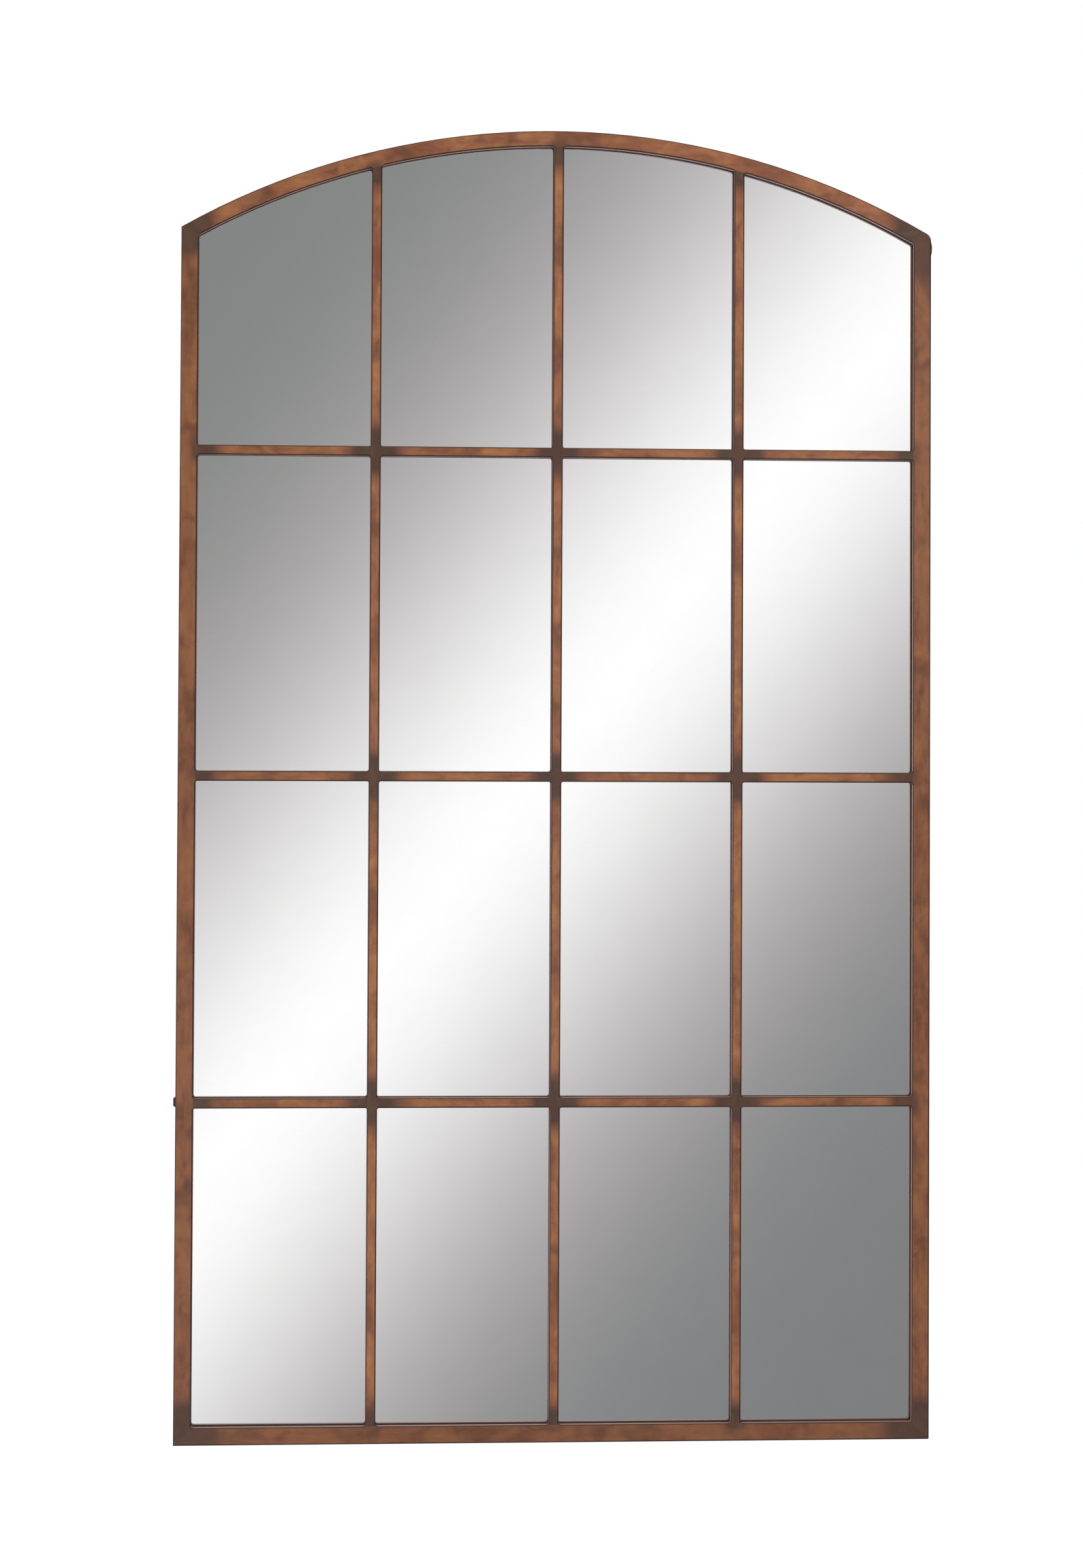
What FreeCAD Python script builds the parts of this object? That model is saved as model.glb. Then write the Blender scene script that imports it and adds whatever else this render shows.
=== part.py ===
"""Arched window mirror: a welded grid of steel tube in front of one sheet of mirror glass.

Millimetres. X runs to the right, Y to the back and Z up. The origin is under the middle of
the bottom rail, at half the overall depth. Everything is drawn with the front face at Y = 0,
and write_node moves it to that origin.
"""

import FreeCAD
import Part
import math
import os

from FreeCAD import Vector

# Outline
WIDTH = 965.2
HEIGHT = 1676.4
ARCH_RISE = 129.3  # from the outer corners up to the crown

# Tubes of the front grid, all flush at the front
STILE_FACE = 22.5
RAIL_FACE = 22.5
ARCH_FACE = 20.0
BAR_FACE = 12.7
GRID_DEPTH = 12.7
FRAME_WALL = 1.5
BAR_WALL = 1.2
ARRIS_RADIUS = 0.8
LIGHTS_ACROSS = 4
LIGHT_HEIGHT = 402.75  # of every light below the arch
BAR_NAMES = ("left", "middle", "right")
ROW_NAMES = ("lower", "middle", "upper")

# Welds and worked corners
FILLET_RADIUS = 2.4
TOP_RIGHT_ROUND = 13.0
BASE_RIGHT_ROUND = 2.0
BEAD_LENGTH = 18.0
BEAD_PROUD = 1.3
TACK_HEIGHT = 14.0
TACK_PROUD = 3.2
TACK_BEVEL = 2.4
TACK_DEPTH = 6.0
TACK_FROM_REAR = 1.0

# Tray behind the grid
RIM_THICKNESS = 3.0
RIM_DEPTH = 12.7
TAPE_THICKNESS = 1.6
TAPE_SETBACK = 1.4  # from the faces of the tubes
TAPE_MARGIN = 2.0  # from the edge of the glass
GLASS_THICKNESS = 3.0
GLASS_CLEARANCE = 2.0  # between the glass and the rim
BOARD_THICKNESS = 6.0

# Tabs that keep the board in the tray
TAB_WIDTH = 16.0
TAB_REACH = 15.0
TAB_THICKNESS = 1.5
TAB_ROUND = 4.0
SCREW_REACH = 9.0  # from the rim to the screw
SCREW_RADIUS = 1.5
SCREW_LENGTH = 6.5
SCREW_HEAD_RADIUS = 3.0
SCREW_HEAD_HEIGHT = 1.8
HOLE_CLEARANCE = 0.05
SIDE_TABS = 4  # on each stile
BASE_TABS = 3
ARCH_TABS = 3
ARCH_TAB_SPREAD = 17.0  # degrees between the tabs of the arch

# Hangers
HANGER_GAP = 3.0  # between the plates and the screw heads of the top tabs on the stiles
PLATE_LENGTH = 46.0
PLATE_HEIGHT = 36.0
PLATE_THICKNESS = 2.0
PLATE_ROUND = 5.0
STRAP_INSET = 30.0  # from the outer face of the stile
STRAP_WIDTH = 14.0
STRAP_THICKNESS = 1.0
STRAP_LENGTH = 23.0  # above the ring's axis
RING_DROP = 3.6  # from the plate's lower edge to the ring's axis
RING_WIRE = 2.5
RING_HALF_WIDTH = 11.0  # to the middle of the wire
RING_CORNER = 3.0
RING_SHANK = 2.0
RING_CLEARANCE = 0.1
RIVET_RADIUS = 1.5
RIVET_HEAD_RADIUS = 2.8
RIVET_HEAD_HEIGHT = 1.0
RIVET_PITCH = 9.0
RIVET_EDGE = 5.0  # from the strap's upper end to the first rivet

# Wall bumpers
BUMPER_RADIUS = 7.0
BUMPER_HEIGHT = 8.5
BUMPER_DRAFT = 0.6  # radius lost between the board and the chamfer
BUMPER_CHAMFER = 1.2
BUMPER_INSET = 48.0  # from the outer faces

# Worked out from the sizes above
HALF_WIDTH = WIDTH / 2
ARCH_RADIUS = (HALF_WIDTH**2 + ARCH_RISE**2) / (2 * ARCH_RISE)
ARCH_CENTRE = Vector(0, 0, HEIGHT - ARCH_RADIUS)
LIGHT_WIDTH = (WIDTH - 2 * STILE_FACE - (LIGHTS_ACROSS - 1) * BAR_FACE) / LIGHTS_ACROSS
GLASS_INSET = RIM_THICKNESS + GLASS_CLEARANCE
GLASS_FRONT = GRID_DEPTH + TAPE_THICKNESS
BOARD_FRONT = GLASS_FRONT + GLASS_THICKNESS
BOARD_BACK = BOARD_FRONT + BOARD_THICKNESS
RIM_BACK = GRID_DEPTH + RIM_DEPTH
PLATE_BACK = RIM_BACK + PLATE_THICKNESS
OVERALL_DEPTH = BOARD_BACK + BUMPER_HEIGHT
SPRING = HEIGHT - ARCH_RISE  # height of the two upper corners
TAB_PITCH = SPRING / SIDE_TABS
HANGER_TOP = SPRING - TAB_PITCH / 2 - SCREW_HEAD_RADIUS - HANGER_GAP
HANGER_LEVEL = HANGER_TOP - PLATE_HEIGHT / 2
RING_AXIS = Vector(0, PLATE_BACK + STRAP_THICKNESS, HANGER_LEVEL - PLATE_HEIGHT / 2 - RING_DROP)
RIGHT = Vector(1, 0, 0)
BACK = Vector(0, 1, 0)
UP = Vector(0, 0, 1)
OVERRUN = 5.0  # how far a cutting shape passes what it cuts
OVERRUN_ANGLE = 1.0  # degrees, the same along the arch
SMALL_FLAT_COUNT = 12  # flats in a full turn of anything small and round
WIRE_FLAT_COUNT = 8  # the same for the wire of the rings
ARRIS_FLAT_COUNT = 2  # flats across one rounded arris


# Shapes that several pieces share


def arch_height(x, inset):
    """Height of the arch at x, on the circle that lies inset inside the outer one."""
    return ARCH_CENTRE.z + math.sqrt((ARCH_RADIUS - inset) ** 2 - x**2)


def light_left(column):
    """Left edge of a light, counted from 0 on the left."""
    return -HALF_WIDTH + STILE_FACE + column * (LIGHT_WIDTH + BAR_FACE)


def light_base(row):
    """Lower edge of a light, counted from 0 at the bottom."""
    return RAIL_FACE + row * (LIGHT_HEIGHT + BAR_FACE)


def polygon(points):
    """Flat face through the points."""
    return Part.Face(Part.makePolygon([*points, points[0]]))


def prism(face, front, back):
    """The face, drawn at Y = 0, as a solid from front to back."""
    return face.translated(BACK * front).extrude(BACK * (back - front))


def corners(sides, base, arch):
    """Corners of the arched outline, set in by those distances: left and right, low and high."""
    x = HALF_WIDTH - sides
    top = arch_height(x, arch)
    return [Vector(-x, 0, base), Vector(x, 0, base), Vector(x, 0, top), Vector(-x, 0, top)]


def arch_edge(start, end, inset):
    """Arc over the opening between two points of the circle set in by inset."""
    crown = Vector(0, 0, HEIGHT - inset)
    return Part.Arc(start, crown, end).toShape()


def region(sides, base, arch):
    """What lies inside the arched outline as a face, set in by those distances."""
    low_left, low_right, high_right, high_left = corners(sides, base, arch)
    straight = Part.makePolygon([high_left, low_left, low_right, high_right]).Edges
    return Part.Face(Part.Wire([*straight, arch_edge(high_right, high_left, arch)]))


def outline(inset):
    """The whole arched outline as a face, set in all round."""
    return region(inset, inset, inset)


def band(outer, inner):
    """The border between two outlines as four mitred faces: left, right, base and arch."""
    out, inn = corners(*outer), corners(*inner)
    arch = Part.Wire(
        [
            arch_edge(out[3], out[2], outer[2]),
            Part.makeLine(out[2], inn[2]),
            arch_edge(inn[2], inn[3], inner[2]),
            Part.makeLine(inn[3], out[3]),
        ]
    )
    return {
        "left": polygon([out[0], inn[0], inn[3], out[3]]),
        "right": polygon([out[1], out[2], inn[2], inn[1]]),
        "base": polygon([out[0], out[1], inn[1], inn[0]]),
        "arch": Part.Face(arch),
    }


def ear_reach(first, second, radius):
    """How far from the corner the arc of an ear meets its two sides."""
    return radius / math.tan(first.getAngle(second) / 2)


def ear_arc(corner, first, second, radius):
    """The arc that rounds a corner, for two sides that leave it along unit vectors."""
    reach = ear_reach(first, second, radius)
    inward = (first + second).normalize()
    to_middle = radius / math.sin(first.getAngle(second) / 2) - radius
    start, end = corner + first * reach, corner + second * reach
    return Part.Arc(start, corner + inward * to_middle, end).toShape()


def ear(corner, first, second, radius):
    """Face between a corner and the arc that rounds it."""
    arc = ear_arc(corner, first, second, radius)
    sides = Part.makePolygon([arc.lastVertex().Point, corner, arc.firstVertex().Point])
    return Part.Face(Part.Wire([arc, *sides.Edges]))


def small_ear(corner, first, second, radius):
    """The same for a small corner, with the arc in flats."""
    turn = math.pi - first.getAngle(second)
    flats = max(2, round(SMALL_FLAT_COUNT * turn / (2 * math.pi)))
    arc = ear_arc(corner, first, second, radius)
    return polygon([corner, *arc.discretize(Number=flats + 1)])


def top_right():
    """The sharp top right corner, and the unit vector along the arch from there."""
    corner = corners(0, 0, 0)[2]
    return corner, Vector(ARCH_CENTRE.z - corner.z, 0, corner.x).normalize()


def worked_corners():
    """What is ground off the two outer corners on the right, through the whole frame."""
    low = corners(0, 0, 0)[1]
    high, along_arch = top_right()
    return [
        prism(ear(low, UP, -RIGHT, BASE_RIGHT_ROUND), -OVERRUN, RIM_BACK + OVERRUN),
        prism(ear(high, -UP, along_arch, TOP_RIGHT_ROUND), -OVERRUN, RIM_BACK + OVERRUN),
    ]


def tube_section(face_width, wall):
    """Hollow section across X, with its front at Y = 0 and its arrises rounded."""
    side, radius = face_width / 2, ARRIS_RADIUS
    centres = (
        Vector(side - radius, GRID_DEPTH - radius, 0),
        Vector(radius - side, GRID_DEPTH - radius, 0),
        Vector(radius - side, radius, 0),
        Vector(side - radius, radius, 0),
    )
    points = []
    for quarter, centre in enumerate(centres):
        arris = Part.makeCircle(radius, centre, UP, 90 * quarter, 90 * quarter + 90)
        points += arris.discretize(Number=ARRIS_FLAT_COUNT + 1)
    bore = Part.makePlane(
        face_width - 2 * wall, GRID_DEPTH - 2 * wall, Vector(wall - side, wall, 0)
    )
    return polygon(points).cut(bore).Faces[0]


def upright_tube(face_width, wall, centre_x, low, high):
    """Tube that stands on the grid's front plane between two heights."""
    section = tube_section(face_width, wall).translated(Vector(centre_x, 0, low))
    return section.extrude(UP * (high - low))


def level_tube(face_width, wall, left, right, centre_z):
    """Tube that lies across the grid between two places."""
    tube = upright_tube(face_width, wall, 0, left, right)
    return tube.rotated(Vector(), BACK, 90).translated(UP * centre_z)


def mitre(outer, inner):
    """A mitre line drawn past both corners, so that it cuts right through a tube."""
    past = (inner - outer).normalize() * OVERRUN
    return outer - past, inner + past


def cut_by_all(shape, tools):
    """The shape with each tool taken from it."""
    for tool in tools:
        shape = shape.cut(tool)
    return shape


def round_edge(radius, centre, axis, flats=SMALL_FLAT_COUNT):
    """The closed edge of a small round section, as flats about an axis through centre."""
    turn = FreeCAD.Rotation(UP, axis)
    angles = [2 * math.pi * i / flats for i in range(flats)]
    points = [Vector(radius * math.cos(a), radius * math.sin(a), 0) for a in angles]
    points = [centre + turn.multVec(point) for point in points]
    return Part.makePolygon([*points, points[0]])


def round_bar(radius, foot, length, axis, flats=SMALL_FLAT_COUNT):
    """Small round bar that starts at foot and runs along its axis."""
    return Part.Face(round_edge(radius, foot, axis, flats)).extrude(axis * length)


def fused(solids):
    """The solids as one, without the seams between them."""
    return solids[0].multiFuse(solids[1:]).removeSplitter()


def turned(stages, foot):
    """Small turned piece along Y: each stage runs from (depth, radius) to (depth, radius)."""
    solids = []
    for start, end in stages:
        ends = [round_edge(radius, foot + BACK * depth, BACK) for depth, radius in (start, end)]
        solids.append(Part.makeLoft(ends, True, True))
    return fused(solids)


# The front grid


def frame_tubes():
    """Two stiles, the bottom rail and the arch, mitred at the four outer corners."""
    out, inn = corners(0, 0, 0), corners(STILE_FACE, RAIL_FACE, ARCH_FACE)
    cuts = [mitre(o, i) for o, i in zip(out, inn)]
    sky = HEIGHT + OVERRUN
    regions = {
        "stile_left": [cuts[0][0], cuts[0][1], cuts[3][1], cuts[3][0]],
        "stile_right": [cuts[1][0], cuts[2][0], cuts[2][1], cuts[1][1]],
        "bottom_rail": [cuts[0][0], cuts[1][0], cuts[1][1], cuts[0][1]],
        "arch_rail": [cuts[3][0], cuts[3][1], cuts[2][1], cuts[2][0]]
        + [Vector(cuts[2][0].x, 0, sky), Vector(cuts[3][0].x, 0, sky)],
    }
    stile_x = HALF_WIDTH - STILE_FACE / 2
    past = HALF_WIDTH + OVERRUN
    tubes = {
        "stile_left": upright_tube(STILE_FACE, FRAME_WALL, -stile_x, -OVERRUN, HEIGHT),
        "stile_right": upright_tube(STILE_FACE, FRAME_WALL, stile_x, -OVERRUN, HEIGHT),
        "bottom_rail": level_tube(RAIL_FACE, FRAME_WALL, -past, past, RAIL_FACE / 2),
        "arch_rail": arch_tube(),
    }
    ground_off = worked_corners()
    for name, tube in tubes.items():
        cutter = prism(polygon(regions[name]), -OVERRUN, GRID_DEPTH + OVERRUN)
        tubes[name] = cut_by_all(tube.common(cutter), ground_off)
    return tubes


def arch_tube():
    """The arch's tube, bent round its centre a little past both mitres."""
    half_span = math.degrees(math.asin(HALF_WIDTH / ARCH_RADIUS)) + OVERRUN_ANGLE
    section = tube_section(ARCH_FACE, FRAME_WALL).rotated(Vector(), BACK, 90)
    section.translate(UP * (HEIGHT - ARCH_FACE / 2))
    return section.rotated(ARCH_CENTRE, BACK, -half_span).revolve(ARCH_CENTRE, BACK, 2 * half_span)


def glazing_bars():
    """The uprights between the lights, coped at the top to the underside of the arch."""
    under_arch = prism(region(STILE_FACE, 0, ARCH_FACE), -OVERRUN, GRID_DEPTH + OVERRUN)
    bars = {}
    for column, name in enumerate(BAR_NAMES, start=1):
        centre_x = light_left(column) - BAR_FACE / 2
        bar = upright_tube(BAR_FACE, BAR_WALL, centre_x, RAIL_FACE, HEIGHT)
        bars[f"glazing_bar_{name}"] = bar.common(under_arch)
    return bars


def cross_bars():
    """The short bars that are welded between the uprights, row by row."""
    bars = {}
    for row, name in enumerate(ROW_NAMES, start=1):
        centre_z = light_base(row) - BAR_FACE / 2
        for column in range(LIGHTS_ACROSS):
            left = light_left(column)
            bar = level_tube(BAR_FACE, BAR_WALL, left, left + LIGHT_WIDTH, centre_z)
            bars[f"cross_bar_{name}_{column + 1}"] = bar
    return bars


def fillet_weld(corner, first, second):
    """Concave weld in one corner of a light, between the rounded arrises of the tubes."""
    face = small_ear(corner, first, second, FILLET_RADIUS)
    return prism(face, ARRIS_RADIUS, GRID_DEPTH - ARRIS_RADIUS)


def along_underside(x, towards):
    """Unit vector from the arch's underside at x to a nearby point of it, to one side."""
    there = x + towards * 2 * FILLET_RADIUS
    rise = arch_height(there, ARCH_FACE) - arch_height(x, ARCH_FACE)
    return Vector(there - x, 0, rise).normalize()


def light_welds():
    """Fillet welds in all the corners of the lights, grouped by the bar that they lie on."""
    welds = {f"fillet_welds_{name}": [] for name in ("rail", *ROW_NAMES, "arch")}
    levels = list(welds)
    for column in range(LIGHTS_ACROSS):
        left = light_left(column)
        for x, side in ((left, 1), (left + LIGHT_WIDTH, -1)):
            for row in range(len(ROW_NAMES) + 1):
                base = Vector(x, 0, light_base(row))
                welds[levels[row]].append(fillet_weld(base, RIGHT * side, UP))
            for row in range(len(ROW_NAMES)):
                top = Vector(x, 0, light_base(row) + LIGHT_HEIGHT)
                welds[levels[row + 1]].append(fillet_weld(top, RIGHT * side, -UP))
            crown = Vector(x, 0, arch_height(x, ARCH_FACE))
            welds[levels[-1]].append(fillet_weld(crown, along_underside(x, side), -UP))
    return welds


def corner_bead():
    """Weld bead left proud on the right stile, just under the rounded corner."""
    corner, along_arch = top_right()
    top = corner.z - ear_reach(-UP, along_arch, TOP_RIGHT_ROUND)
    high, low = Vector(HALF_WIDTH, 0, top), Vector(HALF_WIDTH, 0, top - BEAD_LENGTH)
    crest = Vector(HALF_WIDTH + BEAD_PROUD, 0, top - BEAD_LENGTH / 2)
    face = Part.Face(Part.Wire([Part.Arc(high, crest, low).toShape(), Part.makeLine(low, high)]))
    return prism(face, ARRIS_RADIUS, GRID_DEPTH - ARRIS_RADIUS)


def tack_weld():
    """Tack left unground on the outer face of the left rim, level with the lower cross bars."""
    middle = light_base(1) - BAR_FACE / 2
    outer = -HALF_WIDTH - TACK_PROUD
    half, crest = TACK_HEIGHT / 2, TACK_HEIGHT / 2 - TACK_BEVEL
    points = ((-HALF_WIDTH, -half), (outer, -crest), (outer, crest), (-HALF_WIDTH, half))
    face = polygon([Vector(x, 0, middle + z) for x, z in points])
    rear = RIM_BACK - TACK_FROM_REAR
    return prism(face, rear - TACK_DEPTH, rear)


# The tray behind the grid


def rims():
    """Flat bars on edge behind the outer tubes, which make the tray."""
    faces = band((0, 0, 0), (RIM_THICKNESS, RIM_THICKNESS, RIM_THICKNESS))
    ground_off = worked_corners()
    return {
        f"rim_{side}": cut_by_all(prism(face, GRID_DEPTH, RIM_BACK), ground_off)
        for side, face in faces.items()
    }


def frame_tape():
    """Foam tape on the backs of the outer tubes."""
    edge = GLASS_INSET + TAPE_MARGIN
    insets = (STILE_FACE - TAPE_SETBACK, RAIL_FACE - TAPE_SETBACK, ARCH_FACE - TAPE_SETBACK)
    faces = band((edge, edge, edge), insets)
    return [prism(face, GRID_DEPTH, GLASS_FRONT) for face in faces.values()]


def bar_tape():
    """Foam tape on the backs of the glazing bars and cross bars."""
    width = BAR_FACE - 2 * TAPE_SETBACK
    under_arch = prism(region(STILE_FACE, 0, ARCH_FACE - TAPE_SETBACK), 0, GLASS_FRONT)
    strips = []
    for column in range(1, LIGHTS_ACROSS):
        corner = Vector(light_left(column) - TAPE_SETBACK - width, GRID_DEPTH, 0)
        low = RAIL_FACE - TAPE_SETBACK
        strip = Part.makeBox(width, TAPE_THICKNESS, HEIGHT - low, corner + UP * low)
        strips.append(strip.common(under_arch))
    for row in range(1, len(ROW_NAMES) + 1):
        for column in range(LIGHTS_ACROSS):
            corner = Vector(light_left(column), GRID_DEPTH, light_base(row) - width)
            length = LIGHT_WIDTH + 2 * TAPE_SETBACK
            shift = Vector(-TAPE_SETBACK, 0, -TAPE_SETBACK)
            strips.append(Part.makeBox(length, TAPE_THICKNESS, width, corner + shift))
    return strips


def tab_places():
    """Where each tab meets the rim, as a point at Y = 0 and the turn that faces it inwards."""
    side_x = HALF_WIDTH - RIM_THICKNESS
    places = []
    for i in range(SIDE_TABS):
        z = TAB_PITCH * (i + 0.5)
        places += [(Vector(-side_x, 0, z), 90), (Vector(side_x, 0, z), -90)]
    for i in range(BASE_TABS):
        x = WIDTH * ((i + 0.5) / BASE_TABS - 0.5)
        places.append((Vector(x, 0, RIM_THICKNESS), 0))
    for i in range(ARCH_TABS):
        turn = ARCH_TAB_SPREAD * (i - (ARCH_TABS - 1) / 2)
        reach = Vector(0, 0, ARCH_RADIUS - RIM_THICKNESS)
        around = FreeCAD.Rotation(BACK, turn)
        places.append((ARCH_CENTRE + around.multVec(reach), turn + 180))
    return places


def place(shape, point, turn, depth):
    """A shape drawn about the origin, turned about Y and taken to its point and depth."""
    return shape.rotated(Vector(), BACK, turn).translated(point + BACK * depth)


def screw_bore(depth):
    """The hole for a tab's screw, of the depth asked for."""
    return round_bar(SCREW_RADIUS + HOLE_CLEARANCE, UP * SCREW_REACH, depth, BACK)


def tab_blank():
    """One tab lying on the board: it reaches along Z from the rim and has a hole for its screw."""
    half = TAB_WIDTH / 2
    ends = (Vector(half, 0, TAB_REACH), Vector(-half, 0, TAB_REACH))
    plate = polygon([Vector(-half, 0, -OVERRUN), Vector(half, 0, -OVERRUN), *ends])
    rounds = [
        small_ear(end, RIGHT * inward, -UP, TAB_ROUND) for end, inward in zip(ends, (-1, 1))
    ]
    blank = prism(cut_by_all(plate, rounds), 0, TAB_THICKNESS)
    return blank.cut(screw_bore(TAB_THICKNESS))


def tabs():
    """All the tabs, trimmed to the inner face of the rim."""
    tray = prism(outline(RIM_THICKNESS), GRID_DEPTH, RIM_BACK)
    blank = tab_blank()
    return [place(blank, point, turn, BOARD_BACK).common(tray) for point, turn in tab_places()]


def screws():
    """One screw through each tab into the board."""
    dome = SCREW_HEAD_HEIGHT / 2
    shoulder, top = SCREW_LENGTH + dome, SCREW_LENGTH + SCREW_HEAD_HEIGHT
    stages = (
        ((0, SCREW_RADIUS), (SCREW_LENGTH, SCREW_RADIUS)),
        ((SCREW_LENGTH, SCREW_HEAD_RADIUS), (shoulder, SCREW_HEAD_RADIUS)),
        ((shoulder, SCREW_HEAD_RADIUS), (top, SCREW_HEAD_RADIUS - dome)),
    )
    tip = BOARD_BACK + TAB_THICKNESS - SCREW_LENGTH
    screw = turned(stages, UP * SCREW_REACH)
    return [place(screw, point, turn, tip) for point, turn in tab_places()]


def glass():
    """The one sheet of mirror glass."""
    return prism(outline(GLASS_INSET), GLASS_FRONT, BOARD_FRONT)


def board():
    """Backing board, bored for the screws of the tabs."""
    depth = SCREW_LENGTH - TAB_THICKNESS
    bore = screw_bore(depth)
    bores = [place(bore, point, turn, BOARD_BACK - depth) for point, turn in tab_places()]
    return cut_by_all(prism(outline(GLASS_INSET), BOARD_FRONT, BOARD_BACK), bores)


# What meets the wall


def strap_place(side):
    """The middle of the ring's axis on one side: -1 is left and 1 is right."""
    return RING_AXIS + RIGHT * side * (HALF_WIDTH - STRAP_INSET)


def rivet_levels():
    """Heights of a strap's rivets above the ring's axis."""
    top = STRAP_LENGTH - RIVET_EDGE
    return (top, top - RIVET_PITCH)


def hanger_plate(side):
    """Plate welded on the back edge of the rim, rounded where it reaches over the board."""
    outer, inner = side * HALF_WIDTH, side * (HALF_WIDTH - PLATE_LENGTH)
    low, high = HANGER_LEVEL - PLATE_HEIGHT / 2, HANGER_LEVEL + PLATE_HEIGHT / 2
    ends = (Vector(inner, 0, low), Vector(inner, 0, high))
    face = polygon([Vector(outer, 0, low), *ends, Vector(outer, 0, high)])
    rounds = [
        small_ear(end, RIGHT * side, UP * inward, PLATE_ROUND)
        for end, inward in zip(ends, (1, -1))
    ]
    plate = prism(cut_by_all(face, rounds), RIM_BACK, PLATE_BACK)
    return cut_by_all(plate, rivet_bores(side))


def rivet_bores(side):
    """The holes that a strap and its plate share."""
    radius = RIVET_RADIUS + HOLE_CLEARANCE
    length = 2 * OVERRUN + PLATE_THICKNESS
    foot = strap_place(side) - BACK * (OVERRUN + STRAP_THICKNESS)
    return [round_bar(radius, foot + UP * z, length, BACK) for z in rivet_levels()]


def hanger_strap(side):
    """Strap folded round the ring's bar, with both leaves flat on the plate."""
    axis = strap_place(side)
    start = axis - RIGHT * (STRAP_WIDTH / 2)
    inner = RING_WIRE / 2 + RING_CLEARANCE
    leaves = Part.makeBox(
        STRAP_WIDTH, 2 * STRAP_THICKNESS, STRAP_LENGTH, start - BACK * STRAP_THICKNESS
    )
    barrel = round_bar(inner + STRAP_THICKNESS, start, STRAP_WIDTH, RIGHT)
    bore = round_bar(inner, start, STRAP_WIDTH, RIGHT)
    return cut_by_all(fused([leaves, barrel]), [bore, *rivet_bores(side)])


def rivets():
    """The rivets that hold both straps on their plates."""
    grip = RIVET_HEAD_HEIGHT + PLATE_THICKNESS + 2 * STRAP_THICKNESS
    dome = RIVET_HEAD_HEIGHT / 2
    crown = RIVET_HEAD_RADIUS - dome
    stages = (
        ((0, crown), (dome, RIVET_HEAD_RADIUS)),
        ((dome, RIVET_HEAD_RADIUS), (RIVET_HEAD_HEIGHT, RIVET_HEAD_RADIUS)),
        ((RIVET_HEAD_HEIGHT, RIVET_RADIUS), (grip, RIVET_RADIUS)),
        ((grip, RIVET_HEAD_RADIUS), (grip + dome, RIVET_HEAD_RADIUS)),
        ((grip + dome, RIVET_HEAD_RADIUS), (grip + RIVET_HEAD_HEIGHT, crown)),
    )
    rivet = turned(stages, BACK * (RIM_BACK - RIVET_HEAD_HEIGHT))
    return [
        rivet.translated(Vector(strap_place(side).x, 0, RING_AXIS.z + z))
        for side in (-1, 1)
        for z in rivet_levels()
    ]


def hanging_ring(side):
    """Ring of round wire: a straight bar in the strap, two shanks and a half round below."""
    wire = RING_WIRE / 2
    flat = RING_HALF_WIDTH - RING_CORNER
    low = UP * (-RING_CORNER - RING_SHANK)
    section = Part.Face(round_edge(wire, RIGHT * RING_HALF_WIDTH, UP, WIRE_FLAT_COUNT))
    pieces = [
        round_bar(wire, RIGHT * -flat, 2 * flat, RIGHT, WIRE_FLAT_COUNT),
        section.revolve(Vector(), BACK, 180).translated(low),
    ]
    for end in (-1, 1):
        bend_centre = Vector(end * flat, 0, -RING_CORNER)
        section = Part.Face(round_edge(wire, RIGHT * end * flat, RIGHT, WIRE_FLAT_COUNT))
        shank_foot = RIGHT * end * RING_HALF_WIDTH + low
        pieces.append(section.revolve(bend_centre, BACK, end * 90))
        pieces.append(round_bar(wire, shank_foot, RING_SHANK, UP, WIRE_FLAT_COUNT))
    return fused(pieces).translated(strap_place(side))


def bumpers():
    """Rubber bumpers stuck to the board at the lower corners, which keep the frame off the wall."""
    shoulder = (BUMPER_HEIGHT - BUMPER_CHAMFER, BUMPER_RADIUS - BUMPER_DRAFT)
    crown = (BUMPER_HEIGHT, BUMPER_RADIUS - BUMPER_DRAFT - BUMPER_CHAMFER)
    stages = (((0, BUMPER_RADIUS), shoulder), (shoulder, crown))
    x = HALF_WIDTH - BUMPER_INSET
    return [turned(stages, Vector(side * x, BOARD_BACK, BUMPER_INSET)) for side in (-1, 1)]


# Writing the nodes


def write_node(name, shapes):
    """Writes the solids of one node to parts/, moved to the origin of the whole."""
    solids = [solid for shape in shapes for solid in shape.Solids]
    whole = solids[0] if len(solids) == 1 else Part.Compound(solids)
    whole.translated(-BACK * (OVERALL_DEPTH / 2)).exportStep(f"parts/{name}.step")


def main():
    """Builds every node of the mirror."""
    os.makedirs("parts", exist_ok=True)
    single = {**frame_tubes(), **glazing_bars(), **cross_bars(), **rims()}
    single |= {"corner_bead": corner_bead(), "tack_weld": tack_weld()}
    single |= {"mirror_glass": glass(), "backing_board": board()}
    for side, name in ((-1, "left"), (1, "right")):
        single[f"hanger_plate_{name}"] = hanger_plate(side)
        single[f"hanger_strap_{name}"] = hanger_strap(side)
        single[f"hanging_ring_{name}"] = hanging_ring(side)
    groups = {
        **light_welds(),
        "glazing_tape_frame": frame_tape(),
        "glazing_tape_bars": bar_tape(),
        "retaining_tabs": tabs(),
        "tab_screws": screws(),
        "hanger_rivets": rivets(),
        "wall_bumpers": bumpers(),
    }
    for name, shape in single.items():
        write_node(name, [shape])
    for name, shapes in groups.items():
        write_node(name, shapes)


main()
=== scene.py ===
"""Looks of the arched window mirror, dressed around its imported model.

Metres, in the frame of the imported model: X to the right, Y to the back and Z up, with the
origin under the middle of the bottom rail. The mirror faces -Y.
"""

import logging
import math
from collections.abc import Callable, Iterable, Mapping, Sequence
from dataclasses import dataclass
from enum import Enum
from functools import lru_cache
from typing import Any

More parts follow.
